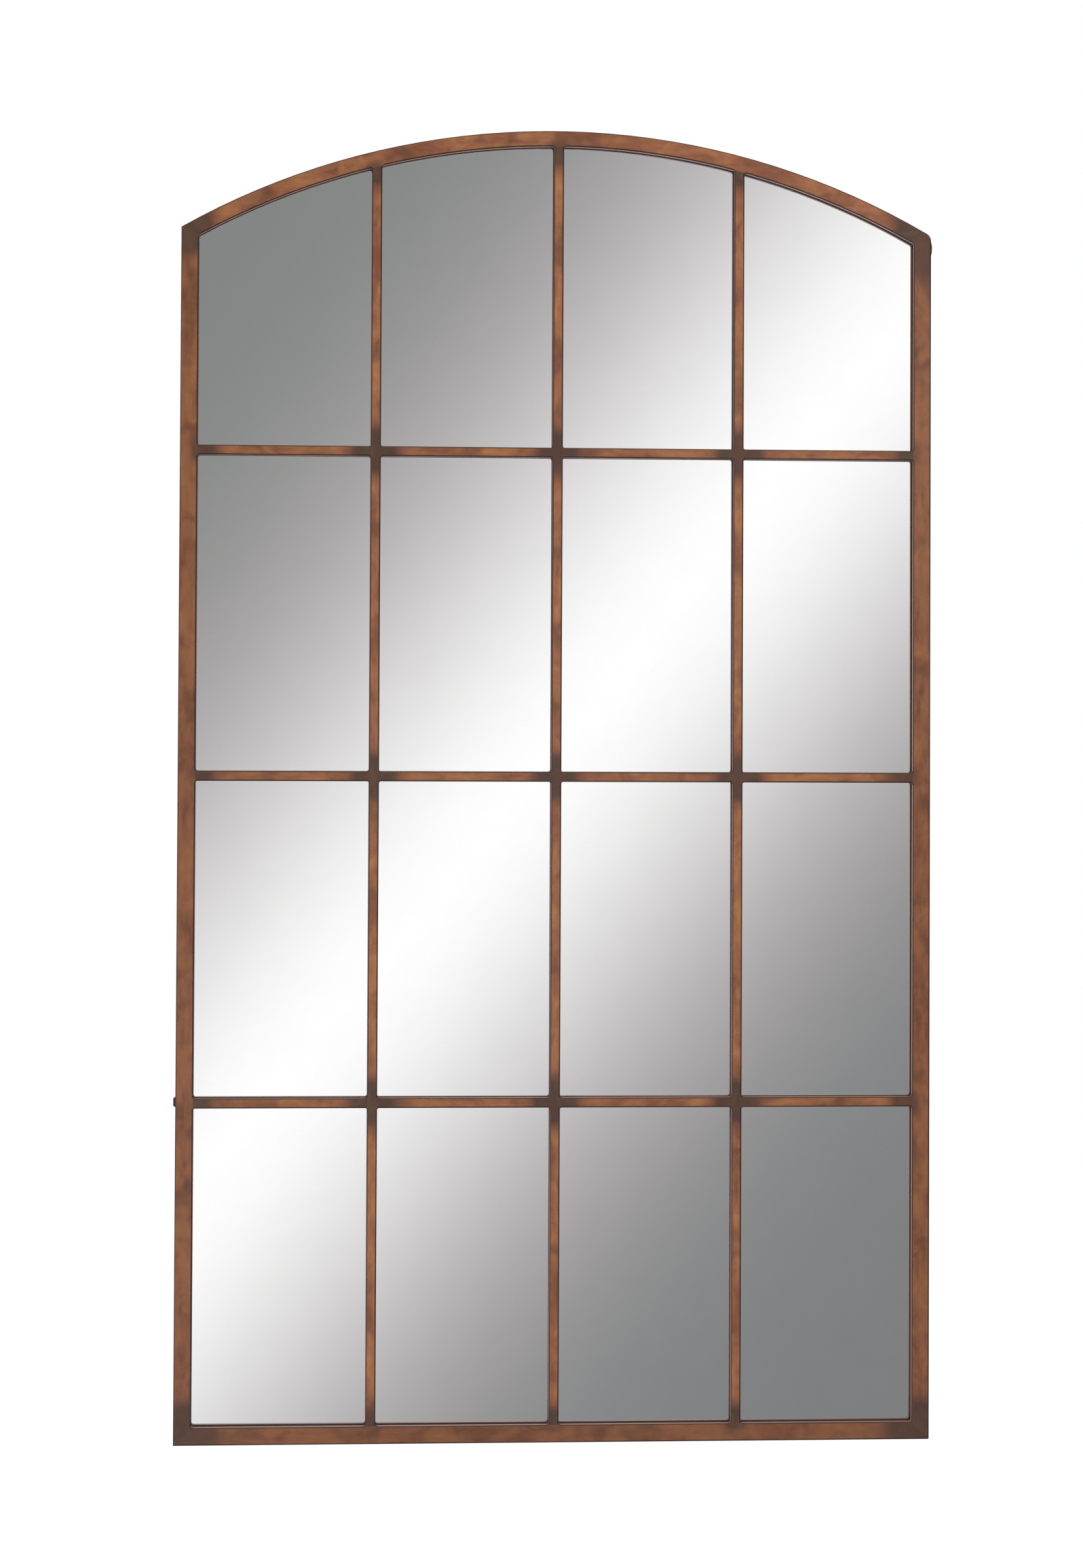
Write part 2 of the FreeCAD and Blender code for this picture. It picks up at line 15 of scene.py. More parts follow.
import bmesh
import bpy
from mathutils import Matrix, Vector


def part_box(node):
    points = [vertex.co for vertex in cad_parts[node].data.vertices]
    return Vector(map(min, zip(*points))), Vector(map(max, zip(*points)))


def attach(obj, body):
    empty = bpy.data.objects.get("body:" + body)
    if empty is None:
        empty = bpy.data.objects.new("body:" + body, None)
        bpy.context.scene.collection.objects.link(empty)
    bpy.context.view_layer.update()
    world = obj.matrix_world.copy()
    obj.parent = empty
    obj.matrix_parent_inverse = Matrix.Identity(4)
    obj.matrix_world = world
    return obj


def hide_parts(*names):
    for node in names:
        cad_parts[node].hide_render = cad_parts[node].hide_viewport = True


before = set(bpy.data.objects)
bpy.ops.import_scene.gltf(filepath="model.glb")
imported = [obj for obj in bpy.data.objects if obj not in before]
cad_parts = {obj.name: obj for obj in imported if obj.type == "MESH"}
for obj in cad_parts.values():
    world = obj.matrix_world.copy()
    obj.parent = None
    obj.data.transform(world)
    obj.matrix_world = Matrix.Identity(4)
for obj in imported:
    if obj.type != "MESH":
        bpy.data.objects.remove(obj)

LOG = logging.getLogger("arched_window_mirror")
MM = 0.001
UP = Vector((0, 0, 1))
BACK = Vector((0, 1, 0))
GOLDEN_TURN = math.radians(137.5)  # between neighbours that should not look aligned
WHITE = (1.0, 1.0, 1.0, 1.0)


class Slot(str, Enum):
    """The record's material slots."""

    PATINA = "copper_patina"
    WELD = "burnt_weld"
    RIM = "rim_steel"
    GLASS = "silvered_glass"
    TAPE = "foam_tape"
    BOARD = "backing_board"
    ZINC = "zinc_steel"
    RUBBER = "bumper_rubber"


class Side(Enum):
    """The two sides of the mirror, as the sign of X."""

    LEFT = -1
    RIGHT = 1

    @property
    def word(self) -> str:
        """The side's name as the nodes spell it."""
        return self.name.lower()


class Run(Enum):
    """Which way a tube runs in the plane of the grid."""

    UPRIGHT = "upright"
    LEVEL = "level"
    ARCHED = "arched"


def display(red: int, green: int, blue: int) -> tuple[float, float, float, float]:
    """Turns a colour as a screen shows it into the linear one that a shader takes.

    Args:
        red: Red, from 0 to 255.
        green: Green, from 0 to 255.
        blue: Blue, from 0 to 255.

    Returns:
        The linear colour with an alpha of 1.
    """
    shares = [value / 255 for value in (red, green, blue)]
    linear = [s / 12.92 if s <= 0.04045 else ((s + 0.055) / 1.055) ** 2.4 for s in shares]
    return (linear[0], linear[1], linear[2], 1.0)


PAINTED_FLANK_SHEEN = display(178, 141, 130)  # painted sheen on the grid's flanks that face the lights
PAINTED_GLASS_SHADE = display(82, 48, 44)  # painted shade at the foot of the same flanks, along the glass


# Shader maths


class Field:
    """A socket's value over a surface, which takes part in Python expressions."""

    def __init__(self, sheet: "NodeSheet", socket: bpy.types.NodeSocket) -> None:
        """Wraps an output socket.

        Args:
            sheet: The node sheet that the socket belongs to.
            socket: The output socket.
        """
        self.sheet = sheet
        self.socket = socket

    def _maths(self, operation: str, *values: "Field | float") -> "Field":
        """Adds a Math node on the values."""
        return self.sheet.add("ShaderNodeMath", {"operation": operation}, dict(enumerate(values)))

    def __add__(self, other: "Field | float") -> "Field":
        """self + other."""
        return self._maths("ADD", self, other)

    def __radd__(self, other: float) -> "Field":
        """other + self."""
        return self._maths("ADD", other, self)

    def __sub__(self, other: "Field | float") -> "Field":
        """self - other."""
        return self._maths("SUBTRACT", self, other)

    def __rsub__(self, other: float) -> "Field":
        """other - self."""
        return self._maths("SUBTRACT", other, self)

    def __mul__(self, other: "Field | float") -> "Field":
        """self * other."""
        return self._maths("MULTIPLY", self, other)

    def __truediv__(self, other: "Field | float") -> "Field":
        """self / other."""
        return self._maths("DIVIDE", self, other)

    def __pow__(self, other: float) -> "Field":
        """self ** other."""
        return self._maths("POWER", self, other)

    def __abs__(self) -> "Field":
        """abs(self)."""
        return self._maths("ABSOLUTE", self)

    def at_least(self, other: "Field | float") -> "Field":
        """The larger of the two values."""
        return self._maths("MAXIMUM", self, other)

    def at_most(self, other: "Field | float") -> "Field":
        """The smaller of the two values."""
        return self._maths("MINIMUM", self, other)

    def with_leg(self, other: "Field") -> "Field":
        """The hypotenuse over the two values as legs."""
        square = self * self + other * other
        return square._maths("SQRT", square)

    def exponential(self) -> "Field":
        """e to the power of the value."""
        return self._maths("EXPONENT", self)

    def to_nearest_line(self, pitch: float) -> "Field":
        """Distance to the nearest of evenly spaced lines, one of which is at 0."""
        return self._maths("PINGPONG", self, pitch / 2)

    def step(self, low: "Field | float", high: "Field | float") -> "Field":
        """Smooth step of the value.

        Args:
            low: Where the step is still 0.
            high: Where the step reaches 1.

        Returns:
            A value from 0 to 1.
        """
        return self.sheet.add(
            "ShaderNodeMapRange",
            {"interpolation_type": "SMOOTHSTEP"},
            {"Value": self, "From Min": low, "From Max": high},
        )

    def other(self, output: str) -> "Field":
        """Another output of the node that this value comes from."""
        return Field(self.sheet, self.socket.node.outputs[output])


class NodeSheet:
    """The nodes of one material or world."""

    def __init__(self, owner: bpy.types.Material | bpy.types.World) -> None:
        """Clears the owner's nodes, ready for new ones.

        Args:
            owner: The material or world to write on.
        """
        owner.use_nodes = True
        self.tree = owner.node_tree
        self.tree.nodes.clear()

    def add(
        self,
        kind: str,
        settings: Mapping[str, Any] | None = None,
        sockets: Mapping[str | int, Any] | None = None,
        output: str | int = 0,
    ) -> Field:
        """Adds any node.

        Args:
            kind: The node's type.
            settings: The node's own properties, set first. "stops" gives a ramp's stops.
            sockets: Values or fields of its inputs, by name or number.
            output: The output that is wanted.

        Returns:
            That output as a field, or the first input of a node without outputs.
        """
        node = self.tree.nodes.new(kind)
        for name, value in (settings or {}).items():
            if name == "stops":
                self._set_stops(node.color_ramp, value)
            else:
                setattr(node, name, value)
        for name, value in (sockets or {}).items():
            if isinstance(value, Field):
                self.tree.links.new(value.socket, node.inputs[name])
            else:
                node.inputs[name].default_value = value
        return Field(self, node.outputs[output]) if node.outputs else Field(self, node.inputs[0])

    @staticmethod
    def _set_stops(ramp: bpy.types.ColorRamp, stops: Sequence[tuple[float, Any]]) -> None:
        """Gives a ramp its stops.

        Args:
            ramp: The ramp.
            stops: (position, colour) pairs in the order of their positions.
        """
        while len(ramp.elements) < len(stops):
            ramp.elements.new(1.0)
        for element, (position, colour) in zip(ramp.elements, stops):
            element.position, element.color = position, colour

    def place(self) -> Field:
        """The point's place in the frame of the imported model, as a vector."""
        return self.add("ShaderNodeTexCoord", output="Object")

    def along(self, vector: Field) -> tuple[Field, Field, Field]:
        """The three parts of a vector."""
        x = self.add("ShaderNodeSeparateXYZ", sockets={0: vector})
        return x, x.other("Y"), x.other("Z")

    def facing(self) -> tuple[Field, Field, Field]:
        """The three parts of the face's own normal."""
        return self.along(self.add("ShaderNodeNewGeometry", output="True Normal"))

    def stretched(self, vector: Field, factors: Sequence[float]) -> Field:
        """A vector multiplied part by part."""
        sockets = {0: vector, 1: tuple(factors)}
        return self.add("ShaderNodeVectorMath", {"operation": "MULTIPLY"}, sockets)

    def noise(
        self,
        vector: Field,
        grain: float,
        detail: float = 3.0,
        roughness: float = 0.55,
        warp: float = 0.0,
    ) -> Field:
        """Noise from about 0.2 to 0.8.

        Args:
            vector: The place to take it at.
            grain: Size of its largest blobs in metres.
            detail: Octaves of finer blobs.
            roughness: How strong the finer blobs are.
            warp: How far the blobs are distorted.

        Returns:
            The noise.
        """
        sockets = {"Scale": 1 / grain, "Detail": detail, "Roughness": roughness}
        sockets |= {"Vector": vector, "Distortion": warp}
        return self.add("ShaderNodeTexNoise", {"noise_dimensions": "3D"}, sockets)

    def specks(self, vector: Field, spacing: float, radius: float) -> Field:
        """Round specks at random places.

        Args:
            vector: The place to take them at.
            spacing: Mean distance between neighbours in metres.
            radius: Radius as a share of the spacing.

        Returns:
            1 in a speck and 0 outside.
        """
        cells = self.add("ShaderNodeTexVoronoi", sockets={"Vector": vector, "Scale": 1 / spacing})
        return 1 - cells.step(radius * 0.6, radius)

    def blend(self, below: Any, above: Any, share: "Field | float") -> Field:
        """Mixes two colours.

        Args:
            below: Colour where the share is 0.
            above: Colour where the share is 1.
            share: How much of the upper colour shows.

        Returns:
            The mixed colour.
        """
        return self.add(
            "ShaderNodeMix", {"data_type": "RGBA"}, {0: share, 6: below, 7: above}, output=2
        )

    def dimmed(self, colour: Field, factor: "Field | float") -> Field:
        """A colour made darker or lighter by a factor."""
        return self.add("ShaderNodeVectorMath", {"operation": "SCALE"}, {0: colour, "Scale": factor})

    def relief(self, height: Field, depth: float, strength: float = 1.0) -> Field:
        """Surface normals of a relief.

        Args:
            height: Height from 0 to 1.
            depth: Metres between a height of 0 and 1.
            strength: How much of the relief shows.

        Returns:
            The normals, for a shader's Normal socket.
        """
        sockets = {"Height": height, "Distance": depth, "Strength": strength}
        return self.add("ShaderNodeBump", sockets=sockets)

    def seen(self) -> Field:
        """Which rays show the surface to the viewer.

        Returns:
            1 for a ray from the camera, or one mirrored or passed on by glass or metal.
        """
        camera = self.add("ShaderNodeLightPath", output="Is Camera Ray")
        mirrored = camera.other("Is Glossy Ray")
        return camera.at_least(mirrored).at_least(camera.other("Is Transmission Ray"))

    def finish(self, shader: Field, kind: str = "ShaderNodeOutputMaterial") -> None:
        """Links a shader to the output."""
        self.add(kind, sockets={"Surface": shader})


@dataclass(frozen=True)
class Finish:
    """The finish of a slot's pieces. A subclass says what its shader's sockets hold."""

    name: str
    slot: Slot

    def sockets(self, sheet: NodeSheet) -> dict[str, Any]:
        """The values and fields of the Principled shader's sockets, by the sockets' names."""
        raise NotImplementedError

    @lru_cache(maxsize=None)
    def material(self) -> bpy.types.Material:
        """Makes the finish's one material, which its pieces share.

        Returns:
            The material.
        """
        material = bpy.data.materials.new(self.name)
        sheet = NodeSheet(material)
        sheet.finish(sheet.add("ShaderNodeBsdfPrincipled", sockets=self.sockets(sheet)))
        return material

    def dress(self, *pieces: bpy.types.Object) -> None:
        """Gives every material slot of the pieces this finish.

        Args:
            pieces: New pieces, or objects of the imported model.
        """
        for piece in pieces:
            if not piece.data.materials:
                piece.data.materials.append(None)
            for index in range(len(piece.data.materials)):
                piece.data.materials[index] = self.material()

    def dress_nodes(self, names: Iterable[str]) -> None:
        """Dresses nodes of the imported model."""
        self.dress(*(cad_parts[name] for name in names))


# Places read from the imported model


@dataclass(frozen=True)
class GridLines:
    """Where the lines of the front grid run and cross."""

    half_bar: float
    back: float
    pitch_x: float
    pitch_z: float
    base: float
    top_row: float
    side: float
    crown: float
    under_arch: float
    arch_centre: float
    arch_line: float
    glass_line: float = 5.5 * MM  # how far from the grid's back its flanks get painted shade

    @classmethod
    def read(cls) -> "GridLines":
        """Reads the lines from the boxes of the bars.

        Returns:
            The lines, with the stiles' at the same pitch as the bars', just behind the inner
            edge of each stile.
        """
        middle, right = (centre_of(f"glazing_bar_{name}") for name in ("middle", "right"))
        low, mid, top = (centre_of(f"cross_bar_{row}_1").z for row in ("lower", "middle", "upper"))
        half_bar = (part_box("glazing_bar_middle")[1].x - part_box("glazing_bar_middle")[0].x) / 2
        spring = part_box("stile_left")[1].z
        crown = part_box("arch_rail")[1].z
        half_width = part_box("bottom_rail")[1].x
        rise = crown - spring
        radius = (half_width**2 + rise**2) / (2 * rise)
        under_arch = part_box("glazing_bar_middle")[1].z
        return cls(
            half_bar=half_bar,
            back=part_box("glazing_bar_middle")[1].y,
            pitch_x=right.x - middle.x,
            pitch_z=mid - low,
            base=low - (mid - low),
            top_row=top,
            side=2 * (right.x - middle.x),
            crown=crown,
            under_arch=under_arch,
            arch_centre=crown - radius,
            arch_line=under_arch + half_bar - (crown - radius),
        )

    def at_glass(self, sheet: NodeSheet) -> Field:
        """1 where a place is so near the glass that the flanks get painted shade."""
        _, y, _ = sheet.along(sheet.place())
        return 1 - (self.back - y).step(self.glass_line - MM / 2, self.glass_line + MM / 2)

    def to_joint(self, sheet: NodeSheet) -> Field:
        """How near a place is to a joint of the grid.

        Args:
            sheet: The node sheet to work on.

        Returns:
            The distance in the plane of the grid to the middle of the nearest joint.
        """
        x, _, z = sheet.along(sheet.place())
        across = x.to_nearest_line(self.pitch_x)
        up = (z - self.base).to_nearest_line(self.pitch_z).at_least(z - self.top_row)
        to_arch = abs(x.with_leg(z - self.arch_centre) - self.arch_line)
        return across.with_leg(up).at_most(across.with_leg(to_arch))

    def into_frame(self, sheet: NodeSheet, run: Run) -> Field:
        """How deep a place lies in a tube of the frame.

        Args:
            sheet: The node sheet to work on.
            run: Which way the tube runs.

        Returns:
            The depth from the tube's inner edge.
        """
        x, _, z = sheet.along(sheet.place())
        if run is Run.UPRIGHT:
            return abs(x) - (self.side - self.half_bar)
        if run is Run.LEVEL:
            return self.base + self.half_bar - z
        return x.with_leg(z - self.arch_centre) - (self.arch_line - self.half_bar)

    def to_bar_end(self, sheet: NodeSheet, run: Run) -> Field:
        """How near a place on a tube of the frame is to a bar that meets it.

        Args:
            sheet: The node sheet to work on.
            run: Which way the tube runs.

        Returns:
            The distance in the plane of the grid to the end of the nearest bar.
        """
        x, _, z = sheet.along(sheet.place())
        if run is Run.UPRIGHT:
            beside = (z - self.base).to_nearest_line(self.pitch_z)
        else:
            beside = x.to_nearest_line(self.pitch_x)
        return self.into_frame(sheet, run).with_leg((beside - self.half_bar).at_least(0))

    def to_corner(self, sheet: NodeSheet) -> tuple[Field, Field]:
        """Distance in the plane of the grid to the nearest outer corner.

        Args:
            sheet: The node sheet to work on.

        Returns:
            The distance, and how near the place is to the upper left corner, from 0 to 1.
        """
        x, _, z = sheet.along(sheet.place())
        out = abs(abs(x) - self.side)
        to_arch = abs(x.with_leg(z - self.arch_centre) - self.arch_line)
        upper_left = (0 - x).step(0, self.side) * z.step(self.base, self.top_row)
        return out.with_leg(abs(z - self.base)).at_most(out.with_leg(to_arch)), upper_left


def centre_of(node: str) -> Vector:
    """The middle of a node's box."""
    low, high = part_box(node)
    return (low + high) / 2


def solids_of(node: str) -> list[tuple[Vector, Vector]]:
    """Finds the separate solids that a node groups.

    Args:
        node: The node's name.

    Returns:
        The lowest and highest corner of each solid.
    """
    shape = bmesh.new()
    shape.from_mesh(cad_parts[node].data)
    bmesh.ops.remove_doubles(shape, verts=shape.verts, dist=MM / 100)
    waiting = set(shape.verts)
    boxes = []
    while waiting:
        reached = [waiting.pop()]
        for vertex in reached:
            near = {edge.other_vert(vertex) for edge in vertex.link_edges} & waiting
            waiting -= near
            reached += near
        points = [vertex.co for vertex in reached]
        low, high = (Vector(map(pick, zip(*points))) for pick in (min, max))
        boxes.append((low, high))
    shape.free()
    return sorted(boxes, key=lambda box: (round(box[0].z, 4), round(box[0].x, 4)))


# Finishes


@dataclass(frozen=True)
class Clouding:
    """The noises that a patina is made of, each from about 0.2 to 0.8."""

    cloud: Field
    blotch: Field
    streak: Field
    smudge: Field
    grain: Field


@dataclass(frozen=True)
class CopperPatina(Finish):
    """Mottled copper-brown patina, scorched round the welds, and dark along the arrises: partly
    their own dark edge, partly painted shade.
    """

    lines: GridLines
    run: Run
    face: float  # width of the tubes' front face
    level: float  # how light it is
    gilding: float  # how much gold shows in it
    tilt: float = 0.0  # how much lighter it gets for each metre to the right
    of_frame: bool = True  # a tube of the frame, not a bar
    cloud_size: float = 120 * MM
    blotch_size: float = 19 * MM
    streak_size: float = 7 * MM
    smudge_size: float = 31 * MM
    grain_size: float = 2.4 * MM
    relief_depth: float = 0.25 * MM
    bar_scorch: float = 32 * MM  # reach of a joint's heat along the bars
    frame_scorch: float = 8 * MM  # the same in the frame, from the end of a bar
    corner_scorch: float = 38 * MM
    faintest: float = 0.15  # strength of the weakest mark in the frame
    strongest: float = 0.8
    lit_line: float = 1.2 * MM  # width of the painted shade line along the left or upper edge of the face, towards the lights
    shade_line: float = 1.7 * MM  # the same along the right or lower edge, which faces away from the lights
    joint_clearance: float = 9 * MM  # from a joint's middle to where the lines end
    deep: tuple = display(119, 76, 53)
    copper: tuple = display(150, 96, 65)
    gold: tuple = display(178, 120, 73)
    umber: tuple = display(100, 64, 47)
    russet: tuple = display(134, 78, 56)
    burnt: tuple = display(73, 52, 42)
    olive: tuple = display(88, 69, 49)
    plum: tuple = display(106, 66, 52)
    # Colours of the edge lines, partly the arrises' own dark and partly painted shade: towards the
    # lights, and away from them
    lit_edge: tuple = display(70, 44, 33)
    shade_edge: tuple = display(38, 23, 16)

    def sockets(self, sheet: NodeSheet) -> dict[str, Any]:
        """Works out the finish.

        Args:
            sheet: The node sheet to work on.

        Returns:
            The values and fields of the Principled shader's sockets.
        """
        clouding = self._clouding(sheet)
        grain, blotch = clouding.grain, clouding.blotch
        joint = self.lines.to_joint(sheet)
        scorch, tinge = self._scorch(sheet, joint, clouding)
        colour = sheet.blend(self._mottled(sheet, clouding), self.plum, tinge * 0.6)
        colour = sheet.blend(colour, self._charred(sheet, clouding), scorch * 0.93)
        colour = sheet.dimmed(colour, 0.93 + grain * 0.14)
        flat = abs(sheet.facing()[1])
        side = 1 - flat.step(0.08, 0.15)
        inner = self._inner(sheet, side)
        foot = inner * self.lines.at_glass(sheet)
        # Painted shade along the edges of the face, heavier on the right and lower edges.
        colour = self._outlined(sheet, colour, flat, joint, side)
        # Painted sheen on the flanks that face the lights.
        colour = sheet.blend(colour, PAINTED_FLANK_SHEEN, inner * 0.72)
        # Painted shade at the flanks' foot along the glass.
        colour = sheet.blend(colour, PAINTED_GLASS_SHADE, foot * 0.95)
        height = grain * 0.2 + blotch * 0.5 + clouding.streak * 0.3
        return {
            "Base Color": colour,
            "Metallic": 0.3 - scorch * 0.2,
            "Roughness": 0.4 + grain * 0.12 + scorch * 0.12 + foot * 0.4,
            "Normal": sheet.relief(height, self.relief_depth, 0.4),
            "Specular IOR Level": 0.2,
            "Coat Weight": 0.4 - foot * 0.4,
            "Coat Roughness": 0.24,
        }

    def _clouding(self, sheet: NodeSheet) -> Clouding:
        """Makes the noises of the patina, drawn out along the tube as by a brush.

        Args:
            sheet: The node sheet to work on.

        Returns:
            The noises.
        """
        place = sheet.place()
        wiped = sheet.stretched(place, self._brushing(0.62))
        brushed = sheet.stretched(place, self._brushing(0.16))
        dabbed = sheet.stretched(place, self._brushing(0.8))
        return Clouding(
            cloud=sheet.noise(place, self.cloud_size, detail=2),
            blotch=sheet.noise(wiped, self.blotch_size, detail=2.5, warp=0.9),
            streak=sheet.noise(brushed, self.streak_size, roughness=0.6),
            smudge=sheet.noise(dabbed, self.smudge_size, detail=1.5, warp=0.4),
            grain=sheet.noise(place, self.grain_size, roughness=0.7),
        )

    def _mottled(self, sheet: NodeSheet, clouding: Clouding) -> Field:
        """The colour of the patina away from any weld.

        Args:
            sheet: The node sheet to work on.
            clouding: The patina's noises.

        Returns:
            The colour.
        """
        mottle = clouding.cloud * 0.3 + clouding.blotch * 0.42 + clouding.streak * 0.28
        colour = sheet.blend(self.deep, self.copper, mottle.step(0.36, 0.52))
        colour = sheet.blend(colour, self.gold, mottle.step(0.48, 0.64) * self.gilding)
        colour = sheet.blend(colour, self.russet, (1 - clouding.cloud).step(0.5, 0.7) * 0.5)
        colour = sheet.blend(colour, self.umber, clouding.smudge.step(0.5, 0.74) * 0.6)
        return sheet.dimmed(colour, self._lightness(sheet))

    def _charred(self, sheet: NodeSheet, clouding: Clouding) -> Field:
        """The colour of the burnt cores.

        Args:
            sheet: The node sheet to work on.
            clouding: The patina's noises.

        Returns:
            The colour.
        """
        colour = sheet.blend(self.burnt, self.olive, clouding.blotch.step(0.44, 0.68) * 0.5)
        return sheet.blend(colour, self.umber, clouding.smudge.step(0.45, 0.7) * 0.4)

    def _brushing(self, along: float) -> tuple[float, float, float]:
        """Factors that draw a pattern out along the tube."""
        return (along, 1, 1) if self.run is not Run.UPRIGHT else (1, 1, along)

    def _lightness(self, sheet: NodeSheet) -> "Field | float":
        """How light the tube is.

        Args:
            sheet: The node sheet to work on.

        Returns:
            A factor for its colour, from place to place or the same all over.
        """
        if not self.tilt:
            return self.level
        return self.level + sheet.along(sheet.place())[0] * self.tilt

    def _inner(self, sheet: NodeSheet, side: Field) -> Field:
        """The flanks that face the lights, out of all flanks, which get a painted sheen.

        Args:
            sheet: The node sheet to work on.
            side: 1 on any flank of the tube.

        Returns:
            1 on the inner flanks.
        """
        if not self.of_frame:
            return side
        return side * (1 - self.lines.into_frame(sheet, self.run).step(2 * MM, 4 * MM))

    def _outlined(
        self, sheet: NodeSheet, colour: Field, flat: Field, joint: Field, side: Field
    ) -> Field:
        """Draws the dark lines along both edges of the front face: partly the arrises' own dark
        colour, partly painted shade.

        Args:
            sheet: The node sheet to work on.
            colour: The colour without the lines.
            flat: 1 where the surface faces the front or the back.
            joint: Distance to the nearest joint, where the lines stop.
            side: 1 on the tube's flanks, which have no line.

        Returns:
            The colour with the lines, darker at the right or lower edge, as painted shade away from
            the lights at the upper left.
        """
        off = self._off_middle(sheet)
        shaded = off.step(-1 * MM, 1 * MM)
        width = self.lit_line + shaded * (self.shade_line - self.lit_line)
        rim = self.face / 2
        line = abs(off).step(rim - width * 1.25, rim - width * 0.75)
        line = line.at_least((1 - flat).step(0.02, 0.06))
        line *= joint.step(self.joint_clearance - MM, self.joint_clearance + MM)
        edge = sheet.blend(self.lit_edge, self.shade_edge, shaded)
        return sheet.blend(colour, edge, line * (1 - side) * 0.95)

    def _off_middle(self, sheet: NodeSheet) -> Field:
        """How far off the tube's middle line a place of its face lies.

        Args:
            sheet: The node sheet to work on.

        Returns:
            The distance, positive to the right or down.
        """
        if self.run is Run.ARCHED:
            x, _, z = sheet.along(sheet.place())
            middle = self.lines.crown - self.lines.arch_centre - self.face / 2
            return middle - x.with_leg(z - self.lines.arch_centre)
        share = sheet.along(sheet.add("ShaderNodeTexCoord", output="Generated"))
        if self.run is Run.LEVEL:
            return (0.5 - share[2]) * self.face
        return (share[0] - 0.5) * self.face

    def _scorch(
        self, sheet: NodeSheet, joint: Field, clouding: Clouding
    ) -> tuple[Field, Field]:
        """The marks that the heat of welding leaves.

        Args:
            sheet: The node sheet to work on.
            joint: Distance to the middle of the nearest joint of the grid.
            clouding: The patina's noises: the slow cloud makes some joints darker than
                others, and the quicker blotch breaks up the border.

        Returns:
            Masks of the burnt core and of the tinged border.
        """
        spread = 0.3 + clouding.cloud * 0.8 + clouding.blotch * 0.6
        if not self.of_frame:
            nearness = joint / (spread * self.bar_scorch)
            return 1 - nearness.step(0.7, 1.1), 1 - nearness.step(0.9, 1.45)
        at_bar = self.lines.to_bar_end(sheet, self.run) / (spread * self.frame_scorch)
        distance, upper_left = self.lines.to_corner(sheet)
        at_corner = distance / (spread * self.corner_scorch * (1 - upper_left * 0.4))
        variety = clouding.cloud.step(0.42, 0.6) * (self.strongest - self.faintest)
        strength = self.faintest + variety
        core = ((1 - at_bar.step(0.4, 1.3)) * strength).at_least(1 - at_corner.step(0.75, 1.2))
        tinge = (1 - at_bar.step(0.6, 2.0)) * strength
        return core, tinge.at_least(1 - at_corner.step(0.95, 1.55))


@dataclass(frozen=True)
class BrownLacquer(Finish):
    """Brown lacquer sprayed on steel: satin, a little orange-peeled, rubbed and dusty."""

    cloud_size: float = 90 * MM
    peel_size: float = 2.2 * MM
    rub_size: float = 14 * MM
    relief_depth: float = 0.08 * MM
    deep: tuple = display(70, 48, 36)
    brown: tuple = display(98, 68, 50)
    rubbed: tuple = display(128, 92, 68)
    dust: tuple = display(140, 126, 112)

    def sockets(self, sheet: NodeSheet) -> dict[str, Any]:
        """Works out the finish.

        Args:
            sheet: The node sheet to work on.

        Returns:
            The values and fields of the Principled shader's sockets.
        """
        place = sheet.place()
        upright = sheet.stretched(place, (1, 1, 0.4))
        cloud = sheet.noise(place, self.cloud_size)
        peel = sheet.noise(place, self.peel_size, detail=1)
        rub = sheet.noise(upright, self.rub_size, detail=5, roughness=0.7)
        settled = sheet.facing()[2].step(0.4, 0.9) * cloud.step(0.3, 0.7)
        colour = sheet.blend(self.deep, self.brown, cloud.step(0.3, 0.65))
        colour = sheet.blend(colour, self.rubbed, rub.step(0.55, 0.75) * 0.6)
        colour = sheet.blend(colour, self.dust, settled * 0.25)
        return {
            "Base Color": colour,
            "Metallic": 0.1,
            "Roughness": 0.4 + rub * 0.2 + settled * 0.2,
            "Normal": sheet.relief(peel * 0.7 + rub * 0.3, self.relief_depth, 0.6),
            "Specular IOR Level": 0.4,
        }


@dataclass(frozen=True)
class WeldScale(Finish):
    """Scaly brown skin of a weld, with the ripples of its passes."""

    ripple_pitch: float = 13 / 3 * MM
    grain_size: float = 1.8 * MM
    relief_depth: float = 0.3 * MM
    dark: tuple = display(66, 49, 39)
    light: tuple = display(98, 78, 64)
    lines: GridLines | None = None  # for a weld in the corner of a light, whose flanks then get the grid's painted sheen and painted shade

    def sockets(self, sheet: NodeSheet) -> dict[str, Any]:
        """Works out the finish.

        Args:
            sheet: The node sheet to work on.

        Returns:
            The values and fields of the Principled shader's sockets.
        """
        place = sheet.place()
        grain = sheet.noise(place, self.grain_size, detail=4)
        settings = {"wave_type": "BANDS", "bands_direction": "Y", "wave_profile": "SIN"}
        scale = {"Vector": place, "Scale": 1 / self.ripple_pitch, "Distortion": 3.0}
        ripple = sheet.add("ShaderNodeTexWave", settings, scale, output="Fac")
        colour = sheet.blend(self.dark, self.light, grain.step(0.4, 0.65))
        if self.lines:
            # The fillet's flanks take the grid's painted sheen, and its painted shade along the
            # glass.
            side = 1 - abs(sheet.facing()[1]).step(0.08, 0.15)
            colour = sheet.blend(colour, PAINTED_FLANK_SHEEN, side * 0.6)
            colour = sheet.blend(colour, PAINTED_GLASS_SHADE, side * self.lines.at_glass(sheet) * 0.95)
        return {
            "Base Color": colour,
            "Metallic": 0.2,
            "Roughness": 0.5 + grain * 0.2,
            "Normal": sheet.relief(ripple * 0.7 + grain * 0.3, self.relief_depth, 0.6),
            "Specular IOR Level": 0.35,
        }


